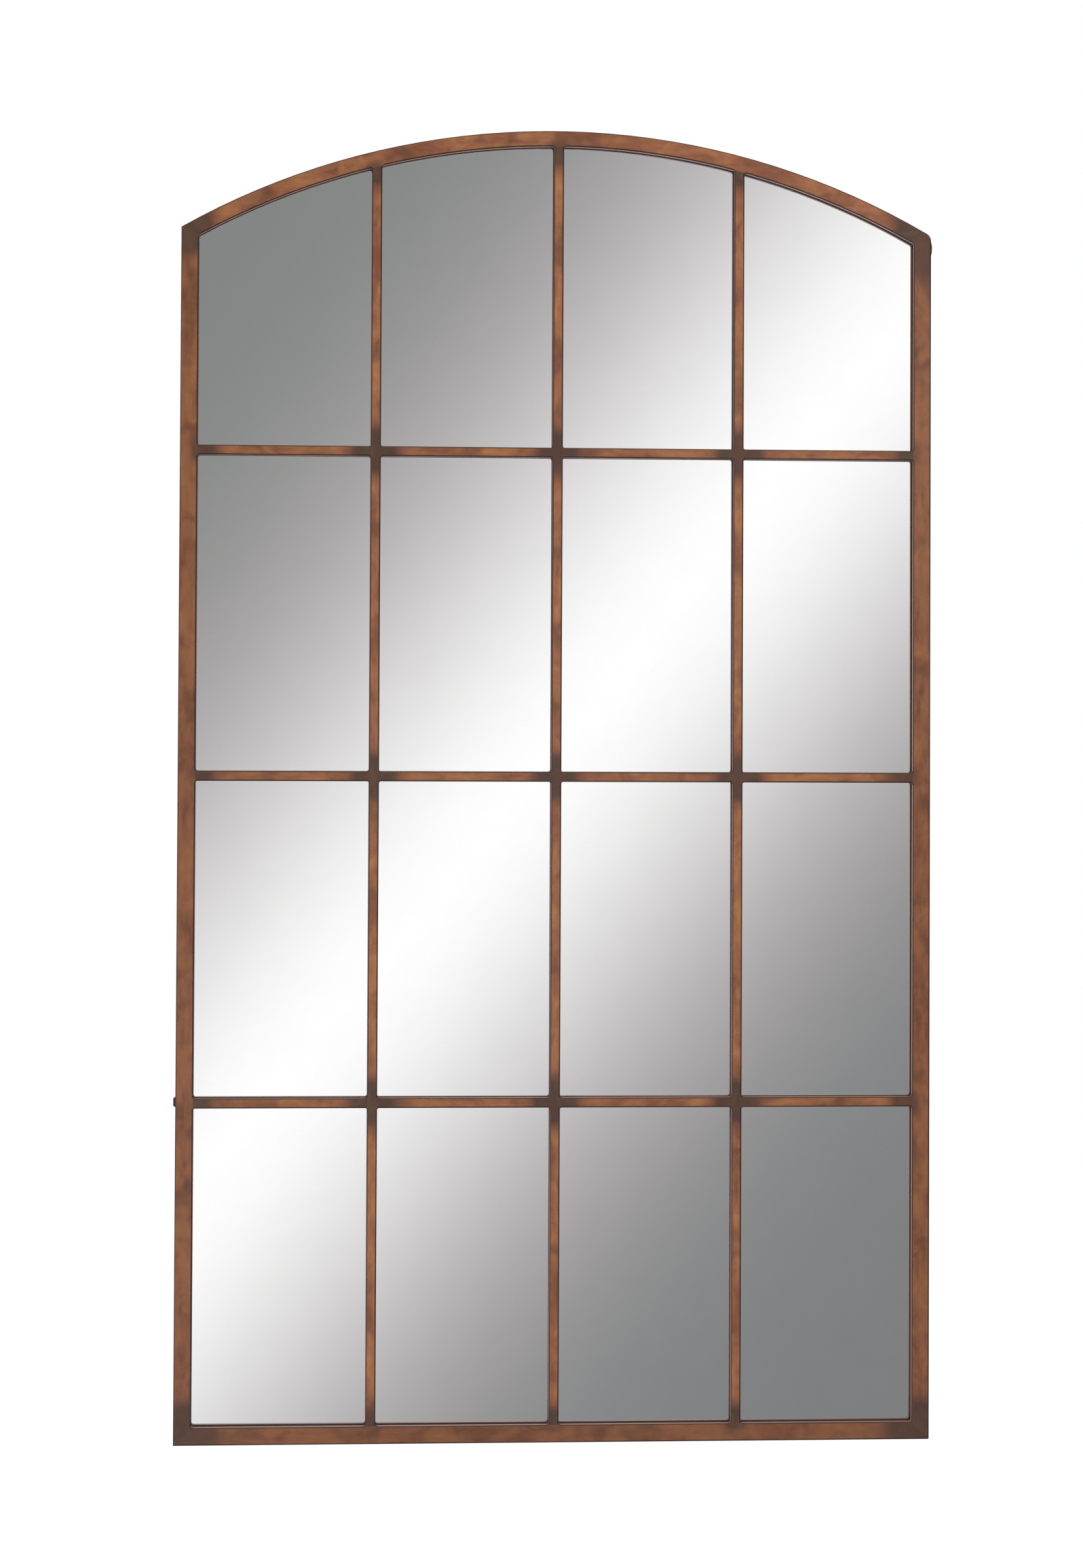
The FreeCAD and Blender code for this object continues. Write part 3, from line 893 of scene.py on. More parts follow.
@dataclass(frozen=True)
class MirrorSilver(Finish):
    """Silvered float glass with the least waviness and a film of dust."""

    wave_size: float = 420 * MM
    wave_depth: float = 0.4 * MM
    dust_size: float = 60 * MM
    clear: tuple = (0.93, 0.935, 0.93, 1.0)
    dusty: tuple = (0.95, 0.95, 0.95, 1.0)

    def sockets(self, sheet: NodeSheet) -> dict[str, Any]:
        """Works out the finish.

        Args:
            sheet: The node sheet to work on.

        Returns:
            The values and fields of the Principled shader's sockets.
        """
        place = sheet.place()
        wave = sheet.noise(place, self.wave_size, detail=1)
        dust = sheet.noise(place, self.dust_size, detail=6, roughness=0.7)
        return {
            "Base Color": sheet.blend(self.clear, self.dusty, dust.step(0.3, 0.7)),
            "Metallic": 1.0,
            "Roughness": 0.006 + dust.step(0.45, 0.75) * 0.012,
            "Normal": sheet.relief(wave, self.wave_depth, 0.15),
        }


@dataclass(frozen=True)
class FoamTape(Finish):
    """Black closed-cell foam."""

    cell_size: float = 1.0 * MM
    cell_depth: float = 0.2 * MM
    dark: tuple = display(24, 23, 23)
    light: tuple = display(48, 46, 45)

    def sockets(self, sheet: NodeSheet) -> dict[str, Any]:
        """Works out the finish.

        Args:
            sheet: The node sheet to work on.

        Returns:
            The values and fields of the Principled shader's sockets.
        """
        sockets = {"Vector": sheet.place(), "Scale": 1 / self.cell_size}
        cells = sheet.add("ShaderNodeTexVoronoi", sockets=sockets)
        return {
            "Base Color": sheet.blend(self.dark, self.light, cells.step(0.1, 0.8)),
            "Roughness": 0.9 + cells * 0.08,
            "Normal": sheet.relief(cells, self.cell_depth, 0.5),
        }


@dataclass(frozen=True)
class Hardboard(Finish):
    """Brown pressed fibreboard with loose fibres and darker chips in its face."""

    cloud_size: float = 260 * MM
    pulp_size: float = 6 * MM
    fibre_size: float = 5 * MM
    chip_spacing: float = 7 * MM
    relief_depth: float = 0.25 * MM
    dark: tuple = display(92, 64, 43)
    tan: tuple = display(132, 98, 68)
    straw: tuple = display(170, 138, 102)

    def sockets(self, sheet: NodeSheet) -> dict[str, Any]:
        """Works out the finish.

        Args:
            sheet: The node sheet to work on.

        Returns:
            The values and fields of the Principled shader's sockets.
        """
        place = sheet.place()
        cloud = sheet.noise(place, self.cloud_size)
        pulp = sheet.noise(place, self.pulp_size, detail=6, roughness=0.8, warp=0.3)
        lying = sheet.noise(sheet.stretched(place, (1, 1, 7)), self.fibre_size, warp=2.5)
        standing = sheet.noise(sheet.stretched(place, (7, 1, 1)), self.fibre_size, warp=2.5)
        fibre = lying.step(0.62, 0.7).at_least(standing.step(0.62, 0.7))
        chips = sheet.specks(place, self.chip_spacing, 0.22)
        colour = sheet.blend(self.dark, self.tan, (cloud * 0.5 + pulp * 0.5).step(0.28, 0.66))
        colour = sheet.blend(colour, self.straw, fibre * 0.4)
        colour = sheet.blend(colour, self.dark, chips * 0.45)
        return {
            "Base Color": colour,
            "Roughness": 0.62 + pulp * 0.2,
            "Normal": sheet.relief(pulp * 0.6 + fibre * 0.4, self.relief_depth, 0.5),
            "Specular IOR Level": 0.3,
        }


@dataclass(frozen=True)
class ZincPlate(Finish):
    """Zinc-plated steel: pale, with a faint spangle, handling marks and warm passivation."""

    spangle_size: float = 3.5 * MM
    scratch_size: float = 2 * MM
    stain_size: float = 12 * MM
    relief_depth: float = 0.06 * MM
    pale: tuple = display(196, 196, 190)
    grey: tuple = display(164, 165, 163)
    warm: tuple = display(190, 180, 154)

    def sockets(self, sheet: NodeSheet) -> dict[str, Any]:
        """Works out the finish.

        Args:
            sheet: The node sheet to work on.

        Returns:
            The values and fields of the Principled shader's sockets.
        """
        place = sheet.place()
        level = sheet.stretched(place, (1, 1, 12))
        spangle = sheet.noise(place, self.spangle_size, warp=1.2)
        scratch = sheet.noise(level, self.scratch_size, detail=2)
        stain = sheet.noise(place, self.stain_size, detail=2)
        colour = sheet.blend(self.grey, self.pale, spangle.step(0.3, 0.65))
        colour = sheet.blend(colour, self.warm, stain.step(0.5, 0.75) * 0.4)
        return {
            "Base Color": colour,
            "Metallic": 0.92,
            "Roughness": 0.26 + spangle * 0.2 + scratch * 0.08,
            "Normal": sheet.relief(scratch * 0.5 + spangle * 0.5, self.relief_depth, 0.5),
        }


@dataclass(frozen=True)
class MouldedRubber(Finish):
    """Black moulded rubber with a fine matt grain and a little bloom."""

    grain_size: float = 0.5 * MM
    bloom_size: float = 6 * MM
    relief_depth: float = 0.05 * MM
    black: tuple = display(26, 26, 27)
    bloom: tuple = display(66, 66, 68)

    def sockets(self, sheet: NodeSheet) -> dict[str, Any]:
        """Works out the finish.

        Args:
            sheet: The node sheet to work on.

        Returns:
            The values and fields of the Principled shader's sockets.
        """
        place = sheet.place()
        grain = sheet.noise(place, self.grain_size, detail=2)
        bloom = sheet.noise(place, self.bloom_size, detail=4)
        return {
            "Base Color": sheet.blend(self.black, self.bloom, bloom.step(0.45, 0.8) * 0.5),
            "Roughness": 0.62 + bloom * 0.25,
            "Normal": sheet.relief(grain, self.relief_depth, 0.5),
        }


# Meshes


class MeshWork:
    """A mesh in the making, which ends as one piece of the object."""

    bevel_steps = 3

    def __init__(self) -> None:
        """Starts with nothing."""
        self.shape = bmesh.new()

    def ring_of(self, points: Iterable[Vector]) -> list[bmesh.types.BMVert]:
        """Adds one closed ring of vertices."""
        return [self.shape.verts.new(point) for point in points]

    def bridge(self, first: Sequence[Any], second: Sequence[Any]) -> None:
        """Joins two rings with quads.

        Args:
            first: Vertices of one ring, in order.
            second: As many of the other ring, in the same order.
        """
        count = len(first)
        for i in range(count):
            j = (i + 1) % count
            self.shape.faces.new((first[i], first[j], second[j], second[i]))

    def turn(self, profile: Sequence[tuple[float, float]], foot: Vector, sides: int = 48) -> None:
        """Adds a closed piece turned about the line through foot along Y.

        Args:
            profile: (radius, height) points from the foot's middle to the top's middle, which
                are left out: the ends are closed with flat faces.
            foot: Middle of the foot.
            sides: Steps of the full turn.
        """
        rings = []
        for radius, height in profile:
            angles = [2 * math.pi * i / sides for i in range(sides)]
            spokes = [Vector((math.cos(a), 0, math.sin(a))) for a in angles]
            rings.append(self.ring_of(foot + BACK * height + spoke * radius for spoke in spokes))
        for lower, upper in zip(rings, rings[1:]):
            self.bridge(lower, upper)
        self.shape.faces.new(rings[0])
        self.shape.faces.new(list(reversed(rings[-1])))

    def sweep(
        self,
        path: Sequence[Vector],
        radius: Callable[[float], float],
        sides: int = 16,
        closed: bool = False,
    ) -> None:
        """Adds a round wire or bead along a flat path.

        Args:
            path: Points of its middle line.
            radius: Radius at a share from 0 to 1 of the path's points.
            sides: Steps round the section.
            closed: Whether the path is a loop.
        """
        count = len(path)
        rings = []
        across = self._plane_normal(path)
        for i, point in enumerate(path):
            before = path[i - 1] if closed or i else point
            after = path[(i + 1) % count] if closed or i < count - 1 else point
            outward = (after - before).normalized().cross(across)
            size = radius(i / (count - 1))
            angles = [2 * math.pi * j / sides for j in range(sides)]
            rings.append(
                self.ring_of(
                    point + (outward * math.cos(a) + across * math.sin(a)) * size for a in angles
                )
            )
        for first, second in zip(rings, rings[1:]):
            self.bridge(first, second)
        if closed:
            self.bridge(rings[-1], rings[0])
        else:
            self.shape.faces.new(rings[0])
            self.shape.faces.new(list(reversed(rings[-1])))

    @staticmethod
    def _plane_normal(path: Sequence[Vector]) -> Vector:
        """Finds the direction that a flat path has no part in.

        Args:
            path: At least two points.

        Returns:
            A unit vector square to the path.
        """
        start = path[1] - path[0]
        for point in path[2:]:
            normal = start.cross(point - path[0])
            if normal.length > start.length * MM:
                return normal.normalized()
        return start.orthogonal().normalized()

    def plate(self, outline: Sequence[Vector], push: Vector) -> None:
        """Adds a flat piece: an outline pushed along a vector.

        Args:
            outline: Points of the outline, in order.
            push: How far its far face lies from the outline, and in which direction.
        """
        near = self.ring_of(outline)
        far = self.ring_of(point + push for point in outline)
        self.bridge(near, far)
        self.shape.faces.new(list(reversed(near)))
        self.shape.faces.new(far)

    def add_copy(self, other: bpy.types.Mesh, matrix: Matrix) -> None:
        """Adds a moved copy of a finished mesh.

        Args:
            other: The mesh to copy.
            matrix: Where the copy goes.
        """
        before = len(self.shape.verts)
        self.shape.from_mesh(other)
        self.shape.verts.ensure_lookup_table()
        bmesh.ops.transform(self.shape, matrix=matrix, verts=self.shape.verts[before:])

    def mesh(self, name: str) -> bpy.types.Mesh:
        """Ends the work as a mesh with its faces turned outwards.

        Args:
            name: The mesh's name.

        Returns:
            The mesh.
        """
        bmesh.ops.recalc_face_normals(self.shape, faces=self.shape.faces)
        mesh = bpy.data.meshes.new(name)
        self.shape.to_mesh(mesh)
        self.shape.free()
        return mesh

    def piece(self, name: str, bevel: float = 0.0, crease: float = 35.0) -> bpy.types.Object:
        """Ends the work as a piece in the scene.

        Args:
            name: The piece's name.
            bevel: Radius of its rounded edges in metres, or 0 for none.
            crease: Degrees between faces above which an edge stays sharp.

        Returns:
            The piece, at the origin of the frame.
        """
        piece = bpy.data.objects.new(name, self.mesh(name))
        bpy.context.scene.collection.objects.link(piece)
        if bevel:
            rounding = piece.modifiers.new("rounded_edges", "BEVEL")
            rounding.width, rounding.segments = bevel, self.bevel_steps
            rounding.limit_method, rounding.angle_limit = "ANGLE", math.radians(crease)
        bake_modifiers(piece)
        piece.data.polygons.foreach_set("use_smooth", [True] * len(piece.data.polygons))
        piece.data.set_sharp_from_angle(angle=math.radians(crease))
        return piece


def bake_modifiers(piece: bpy.types.Object) -> None:
    """Puts the result of a piece's modifiers in its mesh, and leaves none on it.

    Args:
        piece: The piece.
    """
    if not piece.modifiers:
        return
    view = bpy.context.evaluated_depsgraph_get()
    result = bpy.data.meshes.new_from_object(piece.evaluated_get(view))
    piece.modifiers.clear()
    piece.data = result


def settle(
    piece: bpy.types.Object, finish: Finish, body: str, replaced: Sequence[str] = ()
) -> bpy.types.Object:
    """Dresses a new piece and makes it part of a body.

    Args:
        piece: The piece, already in place.
        finish: Its finish.
        body: The body that it moves with.
        replaced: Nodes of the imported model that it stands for.

    Returns:
        The same piece.
    """
    finish.dress(piece)
    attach(piece, body)
    if replaced:
        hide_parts(*replaced)
    LOG.info("%s: %d faces, on %s", piece.name, len(piece.data.polygons), body)
    return piece


def dome_angles(last: int = 80) -> list[float]:
    """Angles of a rounded edge, in steps of ten degrees.

    Args:
        last: The last angle in degrees, short of 90 where a flat face closes the dome.

    Returns:
        The angles from 0 to the last one, in radians.
    """
    return [math.radians(degrees) for degrees in range(0, last + 1, 10)]


@dataclass(frozen=True)
class WeldBead:
    """A straight weld bead with the ripples of its passes."""

    start: Vector
    end: Vector
    radius: float
    pass_length: float = 1.1  # of one pass, as a share of the radius
    pass_steps: int = 8
    ripple: float = 0.16  # how much of the radius is lost between two passes
    end_power: int = 6  # how suddenly the bead is rounded off at its ends
    end_least: float = 0.02
    sides: int = 12

    def lay(self, work: MeshWork) -> None:
        """Adds the bead to a mesh.

        Args:
            work: The mesh.
        """
        steps = self._passes() * self.pass_steps
        path = [self.start.lerp(self.end, i / steps) for i in range(steps + 1)]
        work.sweep(path, self._size, self.sides)

    def _passes(self) -> int:
        """How many passes the bead takes."""
        return max(2, round((self.end - self.start).length / (self.pass_length * self.radius)))

    def _size(self, share: float) -> float:
        """The bead's radius at a place along it.

        Args:
            share: The place, from 0 at the start to 1 at the end.

        Returns:
            The radius in metres.
        """
        crest = abs(math.sin(math.pi * self._passes() * share))
        rounding = max(self.end_least, 1 - (2 * share - 1) ** self.end_power)
        return self.radius * (1 - self.ripple + self.ripple * crest) * math.sqrt(rounding)


# Sub-assemblies


@dataclass
class FrontGrid:
    """The welded grid of tubes in front of the glass, with its seams ground flush."""

    lines: GridLines
    weld: WeldScale
    fillet: WeldScale
    rows: tuple[str, ...] = ("lower", "middle", "upper")
    bars: tuple[str, ...] = ("left", "middle", "right")
    lights_across: int = 4
    groove: float = 0.9 * MM  # width and depth of the groove beside a butted end
    seam_overlap: float = 0.1 * MM
    seam_overrun: float = 1.0 * MM  # past the edges of the bar, over the fillets
    seam_proud: float = 0.03 * MM

    def build(self) -> None:
        """Dresses the tubes and the welds, and fills the seams."""
        bars = [f"glazing_bar_{bar}" for bar in self.bars]
        cross = [f"cross_bar_{row}_{i + 1}" for row in self.rows for i in range(self.lights_across)]
        stiles = [f"stile_{side.word}" for side in Side]
        stile = self._tubes("stile_patina", stiles, Run.UPRIGHT, level=0.84, gilding=0.45)
        rail = self._tubes("rail_patina", ["bottom_rail"], Run.LEVEL, level=0.73, gilding=0.35)
        arch = self._tubes(
            "arch_patina", ["arch_rail"], Run.ARCHED, level=1.0, gilding=0.7, tilt=0.22
        )
        bar = self._tubes(
            "bar_patina", bars, Run.UPRIGHT, level=1.04, gilding=0.7, of_frame=False
        )
        self._tubes(
            "cross_bar_patina", cross, Run.LEVEL, level=0.98, gilding=0.6, of_frame=False
        )
        welds = [f"fillet_welds_{level}" for level in ("rail", *self.rows, "arch")]
        self.fillet.dress_nodes(welds)
        self.weld.dress_nodes(["corner_bead", "tack_weld"])
        self._fill_seams(stile, rail, arch, bar)

    def _fill_seams(self, stile: Finish, rail: Finish, arch: Finish, bar: Finish) -> None:
        """Fills the seams where tubes butt against each other.

        Args:
            stile: Finish of the seams in the stiles.
            rail: Finish of those in the bottom rail.
            arch: Finish of those in the arch.
            bar: Finish of those in the glazing bars.
        """
        half, side = self.lines.half_bar, self.lines.side
        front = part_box("glazing_bar_middle")[0].y - self.seam_proud
        levels = [centre_of(f"cross_bar_{row}_1").z for row in self.rows]
        places = [centre_of(f"glazing_bar_{bar_name}").x for bar_name in self.bars]
        right = Vector((1, 0, 0))
        centre = Vector((0, front, self.lines.arch_centre))
        crossings, stiles, rails, arches = [], [], [], []
        for hand in Side:
            out = right * hand.value
            stiles += [(Vector((0, front, z)) + out * (side - half), UP, out) for z in levels]
            crossings += [
                (Vector((x, front, z)) + out * half, UP, -out) for x in places for z in levels
            ]
        for x in places:
            rails.append((Vector((x, front, self.lines.base + half)), right, -UP))
            radius = self.lines.arch_line - half
            spoke = Vector((x, 0, math.sqrt(radius**2 - x**2))) / radius
            arches.append((centre + spoke * radius, spoke.cross(BACK), spoke))
        self._seams("ground_seams_crossings", crossings, bar)
        self._seams("ground_seams_stiles", stiles, stile)
        self._seams("ground_seams_rail", rails, rail)
        self._seams("ground_seams_arch", arches, arch)

    def _seams(
        self, name: str, places: Sequence[tuple[Vector, Vector, Vector]], finish: Finish
    ) -> None:
        """Adds alike seams as one piece.

        Args:
            name: The piece's name.
            places: Of each seam the middle of the tube's edge, the direction along that edge
                and the direction into the tube.
            finish: The finish of the tube that the seams lie in.
        """
        work = MeshWork()
        for middle, along, into in places:
            half = along * (self.lines.half_bar + self.seam_overrun)
            near, far = middle - into * self.seam_overlap, middle + into * self.groove
            work.plate([near - half, near + half, far + half, far - half], BACK * self.groove)
        settle(work.piece(name), finish, "frame")

    def _tubes(
        self,
        name: str,
        nodes: Sequence[str],
        run: Run,
        level: float,
        gilding: float,
        tilt: float = 0.0,
        of_frame: bool = True,
    ) -> CopperPatina:
        """Gives alike tubes their patina.

        Args:
            name: The finish's name.
            nodes: The tubes.
            run: Which way they run.
            level: How light they are.
            gilding: How much gold shows in them.
            tilt: How much lighter they get for each metre to the right.
            of_frame: Whether they are tubes of the frame, not bars.

        Returns:
            Their patina.
        """
        low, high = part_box(nodes[0])
        face = {
            Run.UPRIGHT: high.x - low.x,
            Run.LEVEL: high.z - low.z,
            Run.ARCHED: high.z - self.lines.under_arch,
        }[run]
        patina = CopperPatina(
            name, Slot.PATINA, self.lines, run, face, level, gilding, tilt, of_frame
        )
        patina.dress_nodes(nodes)
        LOG.info("%s: %d tubes with a face of %.1f mm", name, len(nodes), face / MM)
        return patina


@dataclass
class Tray:
    """The rim behind the grid and what lies in it: tape, glass and board."""

    steel: BrownLacquer

    def dress(self) -> None:
        """Gives the nodes of the tray their finishes."""
        sides = ("left", "right", "base", "arch")
        self.steel.dress_nodes([f"rim_{side}" for side in sides] + ["retaining_tabs"])
        FoamTape("foam_tape", Slot.TAPE).dress_nodes(["glazing_tape_frame", "glazing_tape_bars"])
        MirrorSilver("mirror_silver", Slot.GLASS).dress_nodes(["mirror_glass"])
        Hardboard("hardboard", Slot.BOARD).dress_nodes(["backing_board"])
        LOG.info("tray: rim, tape, glass and board")


@dataclass
class BoardFixings:
    """The screws of the retaining tabs, and the beads that hold the tabs on the rim."""

    lines: GridLines
    zinc: ZincPlate
    weld: WeldScale
    sides: int = 40
    tip_radius: float = 0.2 * MM
    tip_length: float = 1.6 * MM
    head_height: float = 1.8 * MM
    head_flat: float = 0.45  # radius of its top, as a share of the head's
    recess_width: float = 1.0 * MM
    recess_reach: float = 1.75 * MM
    recess_depth: float = 1.1 * MM
    recess_taper: float = 0.5  # width at its foot, as a share of that at the top
    bead_radius: float = 1.0 * MM
    tab_width: float = 16 * MM

    def build(self) -> None:
        """Builds the screws and the beads."""
        solids = solids_of("tab_screws")
        screw = self._screw(*solids[0])
        work, beads = MeshWork(), MeshWork()
        for number, (low, high) in enumerate(solids):
            middle = (low + high) / 2
            turn = Matrix.Rotation(GOLDEN_TURN * number, 4, "Y")
            work.add_copy(screw, Matrix.Translation((middle.x, low.y, middle.z)) @ turn)
            root, along = self._root(middle)
            half = along * (self.tab_width / 2 - self.bead_radius)
            WeldBead(root - half, root + half, self.bead_radius).lay(beads)
        settle(work.piece("tab_screw_set"), self.zinc, "frame", ["tab_screws"])
        settle(beads.piece("tab_weld_beads", crease=60), self.weld, "frame")

    def _screw(self, low: Vector, high: Vector) -> bpy.types.Mesh:
        """One pan-head screw with a cross recess, its tip at the origin.

        Args:
            low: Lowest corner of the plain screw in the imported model.
            high: Highest corner of it.

        Returns:
            The screw's mesh.
        """
        length, head = high.y - low.y, (high.x - low.x) / 2
        shank, seat = head / 2, length - self.head_height
        profile = [(self.tip_radius, 0), (shank, self.tip_length), (shank, seat), (head, seat)]
        for angle in dome_angles():
            share = self.head_flat + (1 - self.head_flat) * math.cos(angle)
            profile.append((head * share, seat + self.head_height * math.sin(angle)))
        work = MeshWork()
        work.turn(profile, Vector(), self.sides)
        screw = work.piece("tab_screw_blank", crease=50)
        cutter = self._recess(length)
        cut = screw.modifiers.new("cross_recess", "BOOLEAN")
        cut.operation, cut.object, cut.solver = "DIFFERENCE", cutter, "EXACT"
        bake_modifiers(screw)
        mesh = screw.data
        bpy.data.objects.remove(screw)
        bpy.data.objects.remove(cutter)
        return mesh

    def _recess(self, top: float) -> bpy.types.Object:
        """Makes the tapering cross that is cut from a screw's head.

        Args:
            top: Height of the head's top above the screw's tip.

        Returns:
            The cross, as a piece to cut with.
        """
        reach, width = self.recess_reach, self.recess_width / 2
        arms = ((1, 0), (0, 1), (-1, 0), (0, -1))
        outline = []
        for (x, z), (next_x, next_z) in zip(arms, arms[1:] + arms[:1]):
            side = Vector((-z, 0, x))
            arm = Vector((x, 0, z))
            outline += [arm * reach - side * width, arm * reach + side * width]
            outline.append(arm * width + Vector((next_x, 0, next_z)) * width)
        work = MeshWork()
        wide = work.ring_of(point + BACK * (top + MM) for point in outline)
        foot = BACK * (top - self.recess_depth)
        narrow = work.ring_of(point * self.recess_taper + foot for point in outline)
        work.bridge(wide, narrow)
        work.shape.faces.new(wide)
        work.shape.faces.new(list(reversed(narrow)))
        return work.piece("recess_cutter")

    def _root(self, screw: Vector) -> tuple[Vector, Vector]:
        """Where a tab meets the rim.

        Args:
            screw: The middle of the tab's screw.

        Returns:
            The middle of the tab's root on its back face, and the direction along the rim.
        """
        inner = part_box("rim_right")[0].x
        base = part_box("rim_base")[1].z
        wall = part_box("rim_right")[1].x - inner
        back = solids_of("retaining_tabs")[0][1].y
        if screw.z - base < self.tab_width:
            return Vector((screw.x, back, base)), Vector((1, 0, 0))
        if inner - abs(screw.x) < self.tab_width:
            return Vector((math.copysign(inner, screw.x), back, screw.z)), UP.copy()
        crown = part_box("rim_arch")[1].z
        centre = Vector((0, back, self.lines.arch_centre))
        spoke = (Vector((screw.x, back, screw.z)) - centre).normalized()
        return centre + spoke * (crown - centre.z - wall), spoke.cross(BACK)


@dataclass
class Hanger:
    """One hanger: a plate on the rim, a folded strap and the ring."""

    side: Side
    steel: BrownLacquer
    zinc: ZincPlate
    weld: WeldScale
    plate_round: float = 5 * MM
    plate_bevel: float = 0.3 * MM
    bead_radius: float = 1.1 * MM
    bead_inset: float = 0.4 * MM  # from the sides of the rim
    bead_lift: float = 0.3 * MM  # of its middle line off the rim
    strap_metal: float = 1.0 * MM
    strap_bevel: float = 0.25 * MM
    barrel_steps: int = 32
    seam_proud: float = 0.06 * MM  # of the dark sheet between the strap's two leaves, painted shade in the gap where they meet
    ring_corner: float = 3 * MM
    ring_shank: float = 2 * MM
    ring_steps: int = 40
    wire_sides: int = 24
    wire_share: float = 0.98  # of the plain ring's thickness
    arc_steps: int = 10

    def build(self) -> None:
        """Builds the hanger's pieces, each in the place of its plain node."""
        name = self.side.word
        self._plate(name)
        self._strap(name)
        self._ring(name)

    def _plate(self, name: str) -> None:
        """Builds the plate, rounded where it reaches over the board, and its beads.

        Args:
            name: The side's word.
        """
        low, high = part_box(f"hanger_plate_{name}")
        inner = low.x if self.side is Side.RIGHT else high.x
        outer = high.x if self.side is Side.RIGHT else low.x
        bend = self.plate_round
        towards = math.copysign(bend, outer - inner)
        ends = ((low.z, bend), (high.z, -bend))
        outline = [Vector((outer, low.y, high.z)), Vector((outer, low.y, low.z))]
        for z, up in ends:
            centre = Vector((inner + towards, low.y, z + up))
            arc = self._quarter(centre, Vector((0, 0, -up)), Vector((-towards, 0, 0)))
            outline += arc if up > 0 else list(reversed(arc))
        work = MeshWork()
        work.plate(outline, BACK * (high.y - low.y))
        piece = work.piece(f"hanger_plate_{name}_rounded", bevel=self.plate_bevel)
        settle(piece, self.steel, "frame", [f"hanger_plate_{name}"])
        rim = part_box(f"rim_{name}")
        span = (rim[0].x + self.bead_inset, rim[1].x - self.bead_inset)
        beads = MeshWork()
        for z in (low.z, high.z):
            start, end = (Vector((x, low.y + self.bead_lift, z)) for x in span)
            WeldBead(start, end, self.bead_radius).lay(beads)
        settle(beads.piece(f"hanger_plate_{name}_beads", crease=60), self.weld, "frame")

    def _quarter(self, centre: Vector, start: Vector, end: Vector) -> list[Vector]:
        """Points of a quarter circle about centre, from centre + start to centre + end."""
        angles = [math.pi / 2 * i / self.arc_steps for i in range(self.arc_steps + 1)]
        return [centre + start * math.cos(a) + end * math.sin(a) for a in angles]

    def _strap(self, name: str) -> None:
        """Builds the strap, a sheet folded round the ring's bar with both leaves on the plate.

        Args:
            name: The side's word.
        """
        low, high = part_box(f"hanger_strap_{name}")
        plate_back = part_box(f"hanger_plate_{name}")[1].y
        barrel = (high.y - low.y) / 2
        axis = Vector((low.x, high.y - barrel, low.z + barrel))
        leaf_back = plate_back + 2 * self.strap_metal
        meet = math.sqrt(barrel**2 - self.strap_metal**2)
        start = math.atan2(self.strap_metal, meet)
        around = 2 * math.pi - 2 * start
        turns = [start + around * i / self.barrel_steps for i in range(self.barrel_steps + 1)]
        section = [
            axis + Vector((0, barrel * math.sin(a), barrel * math.cos(a))) for a in turns
        ]
        section += [Vector((low.x, y, high.z)) for y in (plate_back, leaf_back)]
        work = MeshWork()
        work.plate(section, Vector((high.x - low.x, 0, 0)))
        piece = work.piece(f"hanger_strap_{name}_folded", bevel=self.strap_bevel)
        settle(piece, self.zinc, "frame", [f"hanger_strap_{name}"])
        # A thin dark sheet between the two leaves, proud of the strap's sides: painted shade where
        # the leaves meet.
        proud = self.seam_proud
        span = ((-proud, axis.z + meet), (proud, axis.z + meet))
        span += ((proud, high.z + proud), (-proud, high.z + proud))
        seam = MeshWork()
        outline = [Vector((low.x - proud, axis.y + off, z)) for off, z in span]
        seam.plate(outline, Vector((high.x - low.x + 2 * proud, 0, 0)))
        settle(seam.piece(f"hanger_strap_{name}_seam"), self.weld, "frame")

    def _ring(self, name: str) -> None:
        """Builds the ring of round wire, its bar in the strap and a half round below.

        Args:
            name: The side's word.
        """
        low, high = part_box(f"hanging_ring_{name}")
        wire = (high.y - low.y) / 2
        axis_z = high.z - wire
        middle_x, y = (low.x + high.x) / 2, (low.y + high.y) / 2
        half = (high.x - low.x) / 2 - wire
        corner = self.ring_corner
        corners = []
        for side in (1, -1):
            centre = Vector((middle_x + side * (half - corner), y, axis_z - corner))
            corners.append(self._quarter(centre, UP * corner, Vector((side * corner, 0, 0))))
        centre = Vector((middle_x, y, axis_z - corner - self.ring_shank))
        angles = [math.pi * i / self.ring_steps for i in range(self.ring_steps + 1)]
        below = [centre + Vector((half * math.cos(a), 0, -half * math.sin(a))) for a in angles]
        path = [*corners[0], *below, *reversed(corners[1])]
        work = MeshWork()
        work.sweep(path, lambda share: wire * self.wire_share, self.wire_sides, closed=True)
        piece = work.piece(f"hanging_ring_{name}_wire", crease=60)
        settle(piece, self.zinc, f"ring_{name}", [f"hanging_ring_{name}"])


@dataclass
class RivetSet:
    """The domed rivets of both hangers."""

    zinc: ZincPlate
    sides: int = 40
    dome: float = 1.0 * MM

    def build(self) -> None:
        """Builds the rivets in the place of the plain ones."""
        work = MeshWork()
        for low, high in solids_of("hanger_rivets"):
            middle = (low + high) / 2
            head, length, dome = (high.x - low.x) / 2, high.y - low.y, self.dome
            arc = dome_angles()
            front = [(head * math.cos(a), dome - dome * math.sin(a)) for a in reversed(arc)]
            back = [(head * math.cos(a), length - dome + dome * math.sin(a)) for a in arc]
            profile = [*front, (head / 2, dome), (head / 2, length - dome), *back]
            work.turn(profile, Vector((middle.x, low.y, middle.z)), self.sides)
        settle(work.piece("hanger_rivet_set", crease=40), self.zinc, "frame", ["hanger_rivets"])


